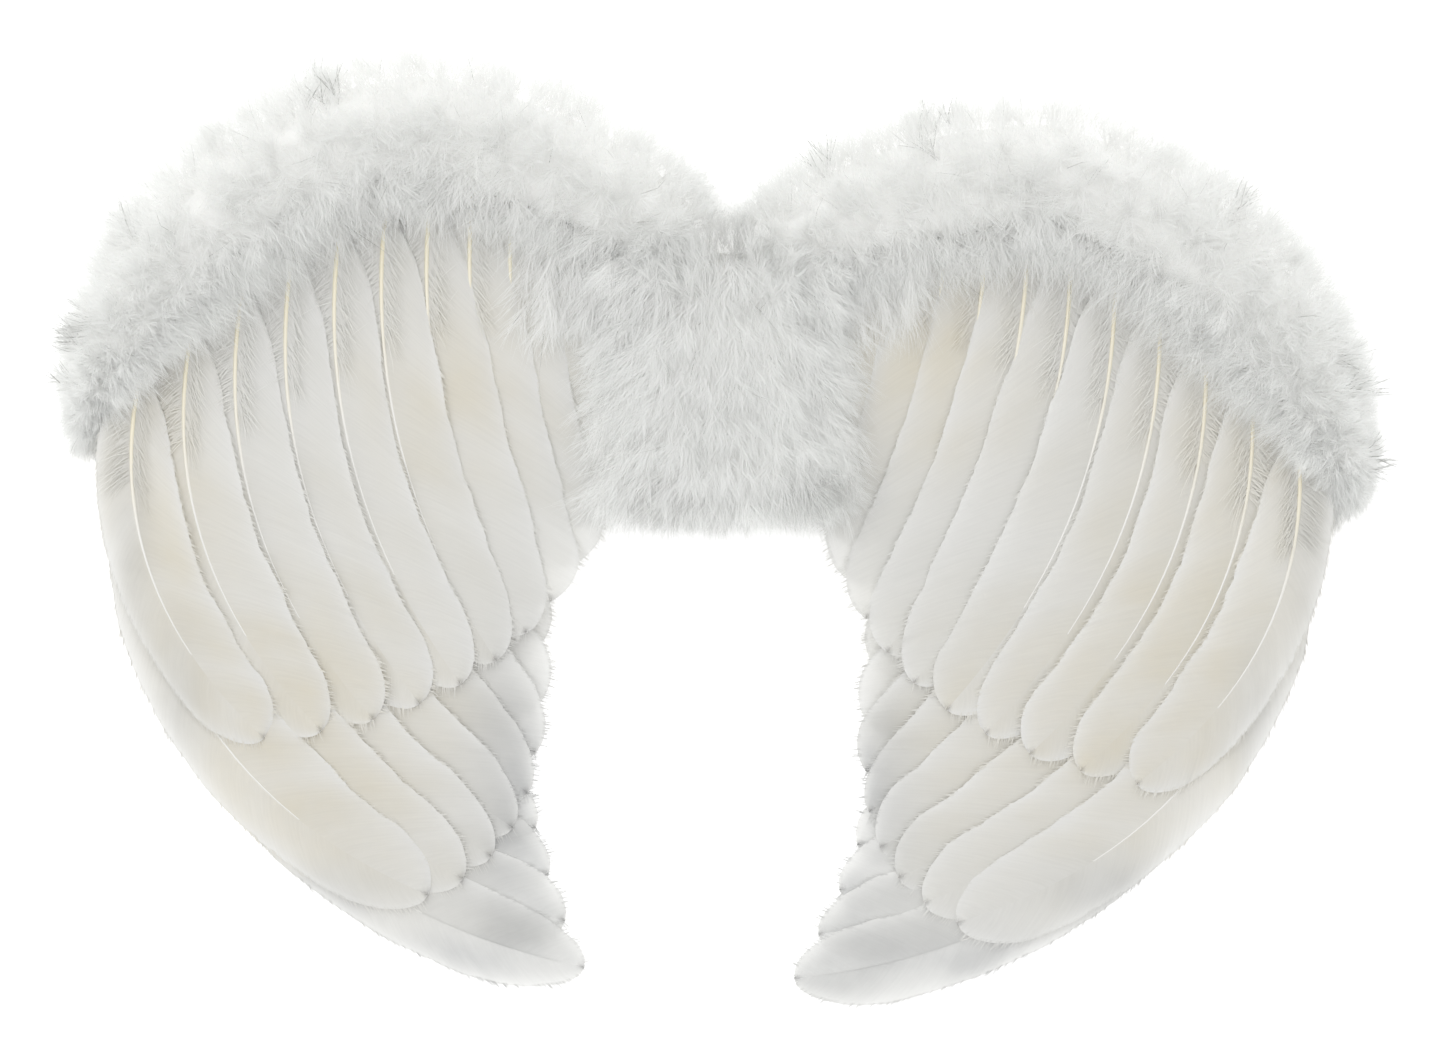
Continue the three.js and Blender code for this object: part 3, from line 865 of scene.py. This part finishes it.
    def down(self, count: int, last: float) -> Surface:
        """Loose down at the root of the vane: barbs that leave the shaft sideways, up to share last."""
        rng = self.rng
        t = 0.04 + (last - 0.04) * rng.random(count) ** 1.3
        hand = rng.choice([-1.0, 1.0], count)
        a, b, _ = self.knots
        along = unit(np.append(b - a, 0.0))
        outwards = np.array([-along[1], along[0], 0.0]) * self.side
        way = unit(
            hand[:, None] * outwards
            + rng.uniform(0.3, 1.3, (count, 1)) * along
            + (0.05 + rng.normal(0, 0.1, (count, 1)) - self.slope * hand[:, None]) * UP
        )
        bend = 0.35 * along + rng.normal(0, 0.12, (count, 3)) * np.array([1, 1, 0.3])
        return ribbons(
            self.surface(t, np.zeros(count), 0.2),
            way,
            bend,
            rng.uniform(9, 18, count),
            rng.uniform(0.3, 0.5, count),
            UP,
            0.4,
            Barb.LONG,
        )

    def build(self, finishes: Finishes) -> bpy.types.Object:
        """Makes the feather's piece and sets it in place of its solid."""
        loose = self.down(520, 0.3) if self.kind is RowKind.COVERT else self.down(40, 0.2)
        surfaces = [*self.vane(-1), *self.vane(1), self.shaft(), loose]
        # Painted shade: the primaries lie lowest, under the other rows, and are greyed all over.
        grey = 0.42 if self.kind is RowKind.PRIMARY else 0.0
        piece = make_piece(f"feather_{self.node}", surfaces, [finishes.vane, finishes.quill], grey)
        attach(piece, "root")
        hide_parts(self.node)
        return piece


@dataclass
class Plumage:
    """All the feathers of one wing, laid out as the solids are."""

    wing: Wing
    feathers: list[Feather] = field(default_factory=list)
    top: float = 0.0

    def knots(self, row: FeatherRow) -> list[Array]:
        """Shafts of a row: root and tip from the row's curves, and a pull that bows the shaft outwards."""
        curves = [self.wing.place(*np.array(c).T) for c in (row.root, row.tip)]
        t = np.linspace(0, 1, row.count)
        roots, tips = arc(curves[0], t), arc(curves[1], t)
        chord = tips - roots
        outwards = np.stack([-chord[:, 1], chord[:, 0]], 1) * self.wing.side
        bow = np.linspace(*row.bow, row.count)[:, None]
        pulls = (roots + tips) / 2 + outwards * 2 * bow
        return [np.stack(k) for k in zip(roots, pulls, tips)]

    def spacing(self, knots: list[Array]) -> float:
        """Narrowest distance between neighbouring shafts where they overlap."""
        least = 1e9
        for near, far in zip(knots, knots[1:]):
            a = arc(near, FULL_SHARE + (1 - FULL_SHARE) * np.arange(9) / 9)
            b = arc(far, np.linspace(0, 1, 37))
            least = min(least, float(np.linalg.norm(a[:, None] - b[None], axis=2).min()))
        return least

    def lay(self) -> None:
        """Works out each row's tilt and level, from the card upwards, and makes its feathers."""
        rise = OVERLAP_SHAFT / 2 + VANE_THICKNESS / 2 + CLEARANCE
        floor = BOARD_TOP + CLEARANCE
        for number, row in enumerate(ROWS):
            knots = self.knots(row)
            slope = rise / self.spacing(knots)
            swing = slope * FEATHER_HALF_WIDTH * max(row.wide)
            level = floor + swing + OVERLAP_SHAFT / 2
            for i, shaft in enumerate(knots):
                wide = row.wide[0] + (row.wide[1] - row.wide[0]) * i / (row.count - 1)
                self.feathers.append(
                    Feather(
                        node=f"{row.kind.value}_{self.wing.name}_{i + 1}",
                        side=self.wing.side,
                        knots=shaft,
                        half_width=FEATHER_HALF_WIDTH * wide,
                        level=level,
                        slope=slope,
                        kind=row.kind,
                        seed=1000 * (number + 1) + 100 * (self.wing.side + 1) + i,
                        lap=0.17 + 0.12 * math.sin(5.0 * i + self.wing.side) if i else 0.0,
                        sag=float(np.interp(i, (row.count - 4, row.count - 2), SAG[row.kind])),
                    )
                )
            floor = level + swing + OVERLAP_SHAFT / 2 + CLEARANCE
        self.top = floor


# Marabou

# Middle line of the trim, as out, up, wide, high and rise: shares of the half span, the wing's height, the
# trim's fullest width, its fullest height, and the height of the feathers that its inner edge clears.
TRIM_LINE = np.array(
    [
        [0.05, 0.131, 0.6, 0.74, 0.5],
        [0.17, 0.176, 0.92, 0.86, 1.0],
        [0.33, 0.212, 1.03, 0.95, 1.05],
        [0.5, 0.226, 1.0, 1.0, 1.05],
        [0.66, 0.184, 1.0, 1.0, 1.05],
        [0.783, 0.122, 1.0, 0.98, 1.05],
        [0.872, 0.052, 0.88, 0.9, 1.05],
        [0.924, -0.01, 0.6, 0.86, 1.12],
        [0.96, -0.064, 0.37, 0.78, 1.12],
        [0.963, -0.112, 0.2, 0.42, 0.1],
    ]
)


@dataclass
class Tufts:
    """Plumes of loose barbs.

    root and way hold one plume each, facing is what its flat side faces, and reach is how far its longest
    barbs go. Its barbs leave a short shaft on both sides at the slope spread, and rise over or under its
    flat side by the slope loft. girth holds the least and greatest width of a barb.
    """

    root: Array
    way: Array
    facing: Array
    reach: Array
    each: int
    spread: float = 0.7
    shape: Barb = Barb.LONG
    loft: float = 0.12
    girth: tuple[float, float] = (0.13, 0.24)

    def barbs(self, rng: np.random.Generator, streaks: float, shade: float = 0.0) -> Surface:
        """Spreads each plume into its barbs.

        Args:
            rng: Random numbers.
            streaks: Share of the barbs painted grey, as painted shadows in the gaps between tufts.
            shade: Share of painted shade, grey, in all the others.

        Returns:
            The barbs' surface.
        """
        n = len(self.root) * self.each
        own = np.repeat(np.arange(len(self.root)), self.each)
        sway = rng.normal(0, 0.13, (len(self.root), 3))[own]
        facing = np.broadcast_to(self.facing, self.way.shape)
        fan, facing, way = unit(np.cross(facing, self.way))[own], facing[own], self.way[own]
        start = rng.uniform(0, 0.42, n)
        turn = rng.uniform(-1, 1, n)
        turn = np.sign(turn) * np.abs(turn) ** 0.7 * self.spread
        heading = unit(way + fan * turn[:, None] + facing * rng.normal(0, self.loft, (n, 1)))
        root = self.root[own] + way * (start * self.reach[own])[:, None] + rng.normal(0, 0.5, (n, 3))
        bend = sway - fan * (turn * rng.uniform(0.0, 0.4, n))[:, None] + rng.normal(0, 0.07, (n, 3))
        length = self.reach[own] * (1 - 0.85 * start) * rng.uniform(0.7, 1.05, n)
        # Painted shade: a few barbs grey as painted shadow strands, the rest greyed by the shade share.
        tone = np.where(rng.random(n) < streaks, rng.uniform(0.4, 1.0, n), shade)
        flat = unit(facing + 0.2 * rng.normal(0, 1, (n, 3)))
        return ribbons(root, heading, bend, length, rng.uniform(*self.girth, n), flat, tone, self.shape)


@dataclass(frozen=True)
class Band:
    """A stretch of the roll where the plumes lie alike.

    angles run up from outwards in degrees, depth is the share of the section at which they are rooted, lean
    is their outward slope, stray is how much that slope differs from plume to plume, sink is their downward
    slope, and reach is the length of their barbs at the trim's full width. shade is the share of painted
    shade, in grey, that dims them.
    """

    count: int
    angles: tuple[float, float]
    depth: float
    lean: float
    stray: float
    sink: float
    reach: tuple[float, float]
    each: int
    shape: Barb
    shade: float


# The last column is painted shade: a share of grey that dims each band's barbs.
TRIM_BANDS = (
    Band(70, (-4.0, 44.0), 0.7, 0.5, 0.3, 0.0, (29.0, 37.0), 26, Barb.LONG, 0.1),
    Band(160, (-8.0, 36.0), 0.7, 0.5, 0.25, 0.0, (22.0, 32.0), 42, Barb.LONG, 0.08),
    Band(700, (22.0, 128.0), 0.84, 1.5, 1.1, 0.0, (19.0, 27.0), 22, Barb.SHORT, 0.06),
    Band(620, (48.0, 174.0), 0.84, -1.1, 1.1, 0.0, (19.0, 27.0), 22, Barb.SHORT, 0.05),
    Band(300, (112.0, 180.0), 0.84, -0.7, 0.5, 0.0, (20.0, 32.0), 24, Barb.SHORT, 0.02),
    Band(320, (166.0, 184.0), 0.9, -0.7, 0.25, 0.08, (20.0, 38.0), 22, Barb.SHORT, 0.0),
)


@dataclass
class MarabouTrim:
    """Roll of marabou along the top edge of one wing, over the quills and past the edge of the card."""

    wing: Wing
    row_top: float

    def sections(self, t: Array) -> tuple[Array, Array, Array, Array, Array, Array]:
        """Middle points, outward and onward directions, half widths, heights and rises at shares t."""
        crest = self.wing.crest * np.sin(np.pi * np.arange(len(TRIM_LINE)) / (len(TRIM_LINE) - 1))
        line = self.wing.place(TRIM_LINE[:, 0], TRIM_LINE[:, 1] + crest)
        near = 0.002
        along = unit(spline(line, np.minimum(t + near, 1)) - spline(line, np.maximum(t - near, 0)))
        outwards = np.stack([-along[:, 1], along[:, 0]], 1) * self.wing.side
        at = t * (len(TRIM_LINE) - 1)
        wide, high, rise = (np.interp(at, np.arange(len(TRIM_LINE)), TRIM_LINE[:, k]) for k in (2, 3, 4))
        full = self.row_top + TRIM_LOFT
        return spline(line, t), outwards, along, wide * TRIM_HALF_WIDTH, high * full, rise

    def skin(self, t: Array, angle: Array, share: float) -> tuple[Array, Array, Array, Array, Array]:
        """Points of the roll at shares t and angles up from outwards, in degrees.

        The section is an arch: across = 0.8 w cos, up = low + (0.9 h - low) sin^0.8, over the underside low.

        Args:
            t: Shares of the trim's length.
            angle: Angles over the roll, from 0 outwards to 180 inwards.
            share: Distance from the heart of the section, as a share.

        Returns:
            Points, directions out of the roll, along it and outwards, and half widths.
        """
        middle, outwards, along, wide, high, rise = self.sections(t)
        turn = np.radians(angle)
        across = 0.8 * wide * np.cos(turn)
        low = self.underside(across / wide, rise)
        up = np.where(turn < 0, 1.0, low + (0.9 * high - low) * np.abs(np.sin(turn)) ** 0.8)
        heart = 0.45 * high
        flat = middle + outwards * (across * share)[:, None]
        point = np.concatenate([flat, (heart + (up - heart) * share)[:, None]], 1)
        level = np.zeros((len(t), 1))
        out = unit(np.concatenate([outwards * np.cos(turn)[:, None], np.sin(turn)[:, None]], 1))
        return point, out, np.concatenate([along, level], 1), np.concatenate([outwards, level], 1), wide

    def underside(self, across: Array, rise: Array) -> Array:
        """Height of the arch's underside at across, a share of the half width.

        Over the quills, whose tops are at q, it is q + ease((0.36 - across) / 1.16) rise (top - q). Past
        them it is near the floor.
        """
        quill = BOARD_TOP + QUILL_DIAMETER + 2 * CLEARANCE
        inner = quill + CLEARANCE + ease((0.36 - across) / 1.16) * rise * (self.row_top - quill)
        return np.where(across > 0.3, 1.0, inner)

    def beneath(self, t: Array, across: Array, lift: float) -> Array:
        """Points lift millimetres over the underside, at shares t of the trim and across its half width."""
        middle, outwards, _, wide, _, rise = self.sections(t)
        flat = middle + outwards * (across * wide)[:, None]
        return np.concatenate([flat, (self.underside(across, rise) + lift)[:, None]], 1)

    def core(self) -> Surface:
        """Closed roll inside the fluff, which stops light: the skin at 84%, over the arched underside."""
        rings, sides, under = 90, 22, (-0.5, -0.25, 0.0, 0.2, 0.29, 0.32, 0.5)
        t = np.linspace(0.025, 0.985, rings)
        tt, aa = np.repeat(t, sides), np.tile(np.linspace(-4, 184, sides), rings)
        point, out, *_ = self.skin(tt, aa, 0.84)
        lump = 1.0 * np.sin(tt * 61 + aa * 0.07) * np.sin(aa * 0.05 + tt * 23)
        point = (point + out * lump[:, None]).reshape(rings, sides, 3)
        arch = self.beneath(np.repeat(t, len(under)), np.tile(under, rings), 1.5)
        arch = arch.reshape(rings, len(under), 3)
        sides += len(under)
        point = np.concatenate([point, arch, point[:, :1]], 1)
        for end, inner in ((0, 1), (-1, -2)):
            point[end] = point[inner].mean(0)
        triangles = grid_triangles(rings, sides + 1)
        if self.wing.side > 0:
            triangles = triangles[:, ::-1]
        size = rings * (sides + 1)
        return Surface(point.reshape(-1, 3), triangles, np.zeros((size, 2)), np.zeros(size), 1)

    def plumes(self, rng: np.random.Generator, band: Band) -> Tufts:
        """Plumes of one band, spaced evenly along the trim and cut shorter where it is narrow."""
        n = band.count
        t = (rng.permutation(n) + rng.random(n)) / n
        root, out, along, outwards, wide = self.skin(t, rng.uniform(*band.angles, n), band.depth)
        lean = band.lean + rng.normal(0, band.stray, (n, 1))
        side = along * rng.normal(0, 0.4, (n, 1)) * (1 + abs(band.lean))
        way = unit(out + outwards * lean + side - np.array([0, 0, band.sink]))
        facing = unit(0.4 * out + np.array([0, 0, 0.6]) + rng.normal(0, 0.06, (n, 3)))
        fullness = 0.2 + 0.8 * wide / TRIM_HALF_WIDTH
        return Tufts(root, way, facing, rng.uniform(*band.reach, n) * fullness, band.each, 0.7, band.shape)

    def lining(self, rng: np.random.Generator, count: int) -> Tufts:
        """Plumes that hang from the underside into the hollows between the quills of the top row."""
        t = rng.uniform(0.08, 0.96, count)
        root = self.beneath(t, rng.uniform(-0.62, -0.1, count), 0.5)
        _, outwards, along, *_ = self.sections(t)
        flat = -outwards + along * rng.normal(0, 0.4, (count, 1))
        way = unit(np.concatenate([flat, rng.uniform(-0.75, -0.3, (count, 1))], 1))
        facing = unit(np.concatenate([-0.5 * outwards, np.ones((count, 1))], 1))
        return Tufts(root, way, facing, rng.uniform(14, 21, count), 22, 0.8, Barb.SHORT)

    def tail(self, rng: np.random.Generator, count: int) -> Tufts:
        """Plumes at the outer end of the trim, which run on down the edge of the wing."""
        t = rng.uniform(0.86, 1.0, count)
        root, out, along, outwards, _ = self.skin(t, rng.uniform(-8, 176, count), 0.6)
        way = unit(along + 0.2 * out + outwards * rng.normal(0.0, 0.22, (count, 1)))
        return Tufts(root, way, UP, rng.uniform(12, 20, count), 46, 0.55, Barb.SHORT)

    def fans(self, rng: np.random.Generator, each: int) -> Tufts:
        """Coarse plumes that spread out of the rim, each of them a few barbs wide apart."""
        t = np.repeat(self.wing.fans, each) + rng.normal(0, 0.006, each * len(self.wing.fans))
        root, out, along, outwards, _ = self.skin(t, rng.uniform(6, 62, len(t)), 0.8)
        way = unit(out + 1.4 * outwards + along * rng.normal(0, 0.5, (len(t), 1)))
        return Tufts(root, way, UP, rng.uniform(19, 26, len(t)), 22, 0.8, Barb.LONG, 0.1, (0.22, 0.4))

    def build(self, finishes: Finishes) -> bpy.types.Object:
        """Makes the trim's piece and sets it in place of its solid."""
        rng = np.random.default_rng(70 + self.wing.side)
        # Grey barbs are painted shade: a few painted shadow strands, and a share of painted shade in each
        # band, the tail and the fans.
        fluff = [self.plumes(rng, band).barbs(rng, 0.003, band.shade) for band in TRIM_BANDS]
        fluff.append(self.tail(rng, 60).barbs(rng, 0.01, 0.08))
        fluff.append(self.fans(rng, 3).barbs(rng, 0.3, 0.2))
        fluff.append(self.lining(rng, 120).barbs(rng, 0.0, 0.0))
        surfaces = [self.core(), *fluff]
        piece = make_piece(f"fluff_trim_{self.wing.name}", surfaces, [finishes.down, finishes.pile])
        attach(piece, "root")
        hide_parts(f"marabou_trim_{self.wing.name}")
        return piece


@dataclass
class MarabouCentre:
    """Marabou pad between the wings, brushed down, with a fringe along its lower edge.

    Its spots hold the middle, the spread and the upward slope of the few plumes painted grey as soft shadows,
    all level.
    """

    row_top: float
    half_width: float = 58.0
    top: float = 52.0
    bottom: float = -60.0
    seat: float = BOARD_TOP + CLEARANCE
    spots: tuple[tuple[float, float, float, float], ...] = (
        (-18.0, -50.0, 5.0, -1.0),
        (48.0, -44.0, 6.0, -1.0),
        (6.0, 58.0, 9.0, 1.0),
    )

    def height(self, x: Array, y: Array) -> Array:
        """Height of the pad: a flat dome that falls steeply at its rim."""
        across = np.clip(np.abs(x) / self.half_width, 0, 1)
        middle, half = (self.top + self.bottom) / 2, (self.top - self.bottom) / 2
        ends = np.clip(np.abs(y - middle) / half, 0, 1)
        full = 0.86 * (self.row_top + MIDDLE_LOFT - self.seat)
        return self.seat + full * ((1 - across**4) * (1 - ends**4)) ** 0.35

    def core(self) -> Surface:
        """Closed pad inside the fluff: the dome at 84% of its size, over a flat underside."""
        n = 36
        side = np.linspace(-1, 1, n)
        u, v = (g.ravel() for g in np.meshgrid(side, side, indexing="ij"))
        middle, half = (self.top + self.bottom) / 2, (self.top - self.bottom) / 2
        x, y = 0.84 * self.half_width * u, middle + 0.84 * half * v
        rim = np.maximum(np.abs(u), np.abs(v)) > 0.999
        raised = self.seat + 0.86 * (self.height(x, y) - self.seat)
        over = np.stack([x, y, np.where(rim, self.seat, raised)], 1)
        under = np.stack([x, y, np.full_like(x, self.seat)], 1)
        triangles = np.concatenate([grid_triangles(n, n)[:, ::-1], grid_triangles(n, n) + n * n])
        points = np.concatenate([over, under])
        return Surface(points, triangles, np.zeros((2 * n * n, 2)), np.zeros(2 * n * n), 1)

    def pad_plumes(self, rng: np.random.Generator, count: int) -> Tufts:
        """Plumes all over the pad, which point down and lean sideways towards the wings."""
        x = rng.uniform(-1, 1, count) * self.half_width
        y = rng.uniform(self.bottom, self.top + 16, count)
        level = np.stack([x / 84 + rng.normal(0, 0.12, count), -np.ones(count), np.zeros(count)], 1)
        height = np.where(y > self.top - 6, 37.0, self.height(0.88 * x, 0.9 * y))
        root = np.stack([0.86 * x, 0.88 * y, self.seat + 1.03 * (height - self.seat)], 1)
        way = unit(level + np.array([0, 0, 0.26]) + rng.normal(0, 0.16, (count, 3)))
        facing = unit(np.array([0, 0, 1.0]) + 0.3 * level)
        return Tufts(root, way, facing, rng.uniform(19, 27, count), 24, 0.7, Barb.SHORT)

    def fringe(self, rng: np.random.Generator, count: int) -> Tufts:
        """Plumes along the lower edge, long and nearly level."""
        x = rng.uniform(-0.88, 0.88, count) * self.half_width
        root = np.stack([x, 0.7 * self.bottom + rng.normal(0, 2.0, count), rng.uniform(7, 38, count)], 1)
        level = np.stack([x / 95, -np.ones(count), np.zeros(count)], 1)
        way = unit(level + rng.normal(0, 0.18, (count, 3)))
        facing = unit(np.array([0, 0, 1.0]) + 0.3 * level)
        return Tufts(root, way, facing, rng.uniform(21, 31, count), 50)

    def sides(self, rng: np.random.Generator, count: int) -> Tufts:
        """Plumes down both sides, which lap over the innermost feathers."""
        side = rng.choice([-1.0, 1.0], count)
        x = side * rng.uniform(38, 56, count)
        root = np.stack([x, rng.uniform(-46, 48, count), rng.uniform(26, 37, count)], 1)
        level = np.stack([side * rng.uniform(0.2, 0.8, count), -np.ones(count), np.zeros(count)], 1)
        way = unit(level + rng.normal(0, 0.12, (count, 3)) * np.array([1, 1, 0.4]))
        return Tufts(root, way, UP, rng.uniform(20, 30, count), 26, 0.7, Barb.SHORT)

    def corners(self, rng: np.random.Generator, count: int) -> Tufts:
        """Plumes in the two corners between the pad, the trims and the innermost feathers."""
        side = rng.choice([-1.0, 1.0], count)
        x = side * rng.uniform(34, 88, count)
        root = np.stack([x, rng.uniform(34, 66, count), rng.uniform(28, 37, count)], 1)
        out = side * rng.uniform(0.0, 0.5, count)
        way = unit(np.stack([out, -np.ones(count), rng.uniform(-0.05, 0.15, count)], 1))
        return Tufts(root, way, UP, rng.uniform(20, 32, count), 24, 0.7, Barb.SHORT)

    def saddle(self, rng: np.random.Generator, count: int) -> Tufts:
        """Plumes that stand up in the dip between the two trims."""
        x = rng.uniform(-34, 34, count)
        root = np.stack([x, rng.uniform(34, 57, count), rng.uniform(20, 41, count)], 1)
        level = np.stack([root[:, 0] / 40, np.ones(count), rng.uniform(0.1, 0.7, count)], 1)
        way = unit(level + rng.normal(0, 0.25, (count, 3)))
        return Tufts(root, way, UP, rng.uniform(16, 23, count), 26)

    def painted_shadow_plumes(self, rng: np.random.Generator, count: int) -> Tufts:
        """Plumes painted greyer than the rest, as soft shadows in a few places along the upper and lower
        edge.
        """
        x, y, spread, slope = np.repeat(np.array(self.spots), count // len(self.spots), 0).T
        root = np.stack([rng.normal(x, spread), rng.normal(y, 3.0), rng.uniform(34, 42, len(x))], 1)
        way = unit(np.stack([rng.normal(0, 0.25, len(x)), slope, rng.normal(0, 0.08, len(x))], 1))
        return Tufts(root, way, UP, rng.uniform(13, 19, len(x)), 30, 0.6, Barb.SHORT)

    def build(self, finishes: Finishes) -> bpy.types.Object:
        """Makes the pad's piece and sets it in place of its solid."""
        rng = np.random.default_rng(70)
        plumes = (
            self.pad_plumes(rng, 1000),
            self.fringe(rng, 160),
            self.sides(rng, 280),
            self.corners(rng, 240),
            self.saddle(rng, 186),
            self.painted_shadow_plumes(rng, 36),
        )
        # Painted shade: the fringe is greyed along the lower edge, the saddle in the dip, and the shadow
        # plumes most.
        shades = (0.0, 0.24, 0.0, 0.0, 0.06, 0.3)
        fluff = [plume.barbs(rng, 0.006, shade) for plume, shade in zip(plumes, shades)]
        piece = make_piece("fluff_centre", [self.core(), *fluff], [finishes.down, finishes.pile])
        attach(piece, "root")
        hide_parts("marabou_centre")
        return piece


# Studio


@dataclass
class Studio:
    """Camera straight above the wings, soft light from all round and a pale floor."""

    camera_height: float = 2.4
    reference: float = 0.025  # height at which the frame has the photograph's width
    sky: float = 0.9
    key: float = 20.0
    size: float = 3.4
    half_floor: float = 4.0
    under: float = 0.0003  # gap between the wings and the floor, in metres like the rest here

    def build(self) -> None:
        """Makes the camera, the light and the floor."""
        scene = bpy.context.scene
        scene.view_settings.view_transform = "Standard"
        scene.view_settings.look = "None"
        lens = bpy.data.cameras.new("camera")
        lens.sensor_width = 36.0
        lens.lens = 36.0 * self.camera_height / (PHOTO_MM * MM)
        camera = bpy.data.objects.new("camera", lens)
        camera.location = (PHOTO_MIDDLE[0] * MM, PHOTO_MIDDLE[1] * MM, self.reference + self.camera_height)
        scene.collection.objects.link(camera)
        scene.camera = camera
        world = bpy.data.worlds.new("soft_room")
        world.use_nodes = True
        room = world.node_tree.nodes["Background"]
        room.inputs["Color"].default_value = (1.0, 1.0, 1.0, 1.0)
        room.inputs["Strength"].default_value = self.sky
        scene.world = world
        panel = bpy.data.lights.new("soft_panel", "AREA")
        panel.shape = "SQUARE"
        panel.size = self.size
        panel.energy = self.key
        light = bpy.data.objects.new("soft_panel", panel)
        light.location = (-0.9, 0.8, 1.6)
        light.rotation_euler = (math.radians(-27), math.radians(-29), 0)
        scene.collection.objects.link(light)
        half = self.half_floor
        corners = [(-half, -half, 0), (half, -half, 0), (half, half, 0), (-half, half, 0)]
        mesh = bpy.data.meshes.new("floor")
        mesh.from_pydata(corners, [], [(0, 1, 2, 3)])
        mesh.materials.append(FloorFinish().material())
        floor = bpy.data.objects.new("floor", mesh)
        floor.location.z = -self.under
        scene.collection.objects.link(floor)


def dress(node: bpy.types.Object, material: bpy.types.Material) -> None:
    """Gives a solid of the frame its finish."""
    if not node.material_slots:
        node.data.materials.append(material)
    for place in node.material_slots:
        place.material = material


def main() -> None:
    """Loads the frame, then builds the studio, the feathers and the fluff in order."""
    logging.basicConfig(level=logging.INFO, format="%(name)s %(message)s")
    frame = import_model()
    Studio().build()
    finishes = Finishes(
        VaneFinish().material(),
        QuillFinish().material(),
        DownFinish().material(),
        UNDERDOWN.material(),
        PULP_CARD.material(),
        ElasticFinish().material(),
    )
    dress(frame["nodes"]["backing_board"], finishes.card)
    for side in ("left", "right"):
        dress(frame["nodes"][f"shoulder_strap_{side}"], finishes.elastic)
    total = 0
    tops = []
    for wing in WINGS:
        plumage = Plumage(wing)
        plumage.lay()
        tops.append(plumage.top)
        pieces = [feather.build(finishes) for feather in plumage.feathers]
        pieces.append(MarabouTrim(wing, plumage.top).build(finishes))
        counts = [len(piece.data.polygons) for piece in pieces]
        total += sum(counts)
        LOG.info("%s wing: %d feathers, trim of %d triangles", wing.name, len(pieces) - 1, counts[-1])
    centre = MarabouCentre(max(tops)).build(finishes)
    total += len(centre.data.polygons)
    LOG.info("centre of %d triangles, %d in all", len(centre.data.polygons), total)


if __name__ == "__main__":
    main()
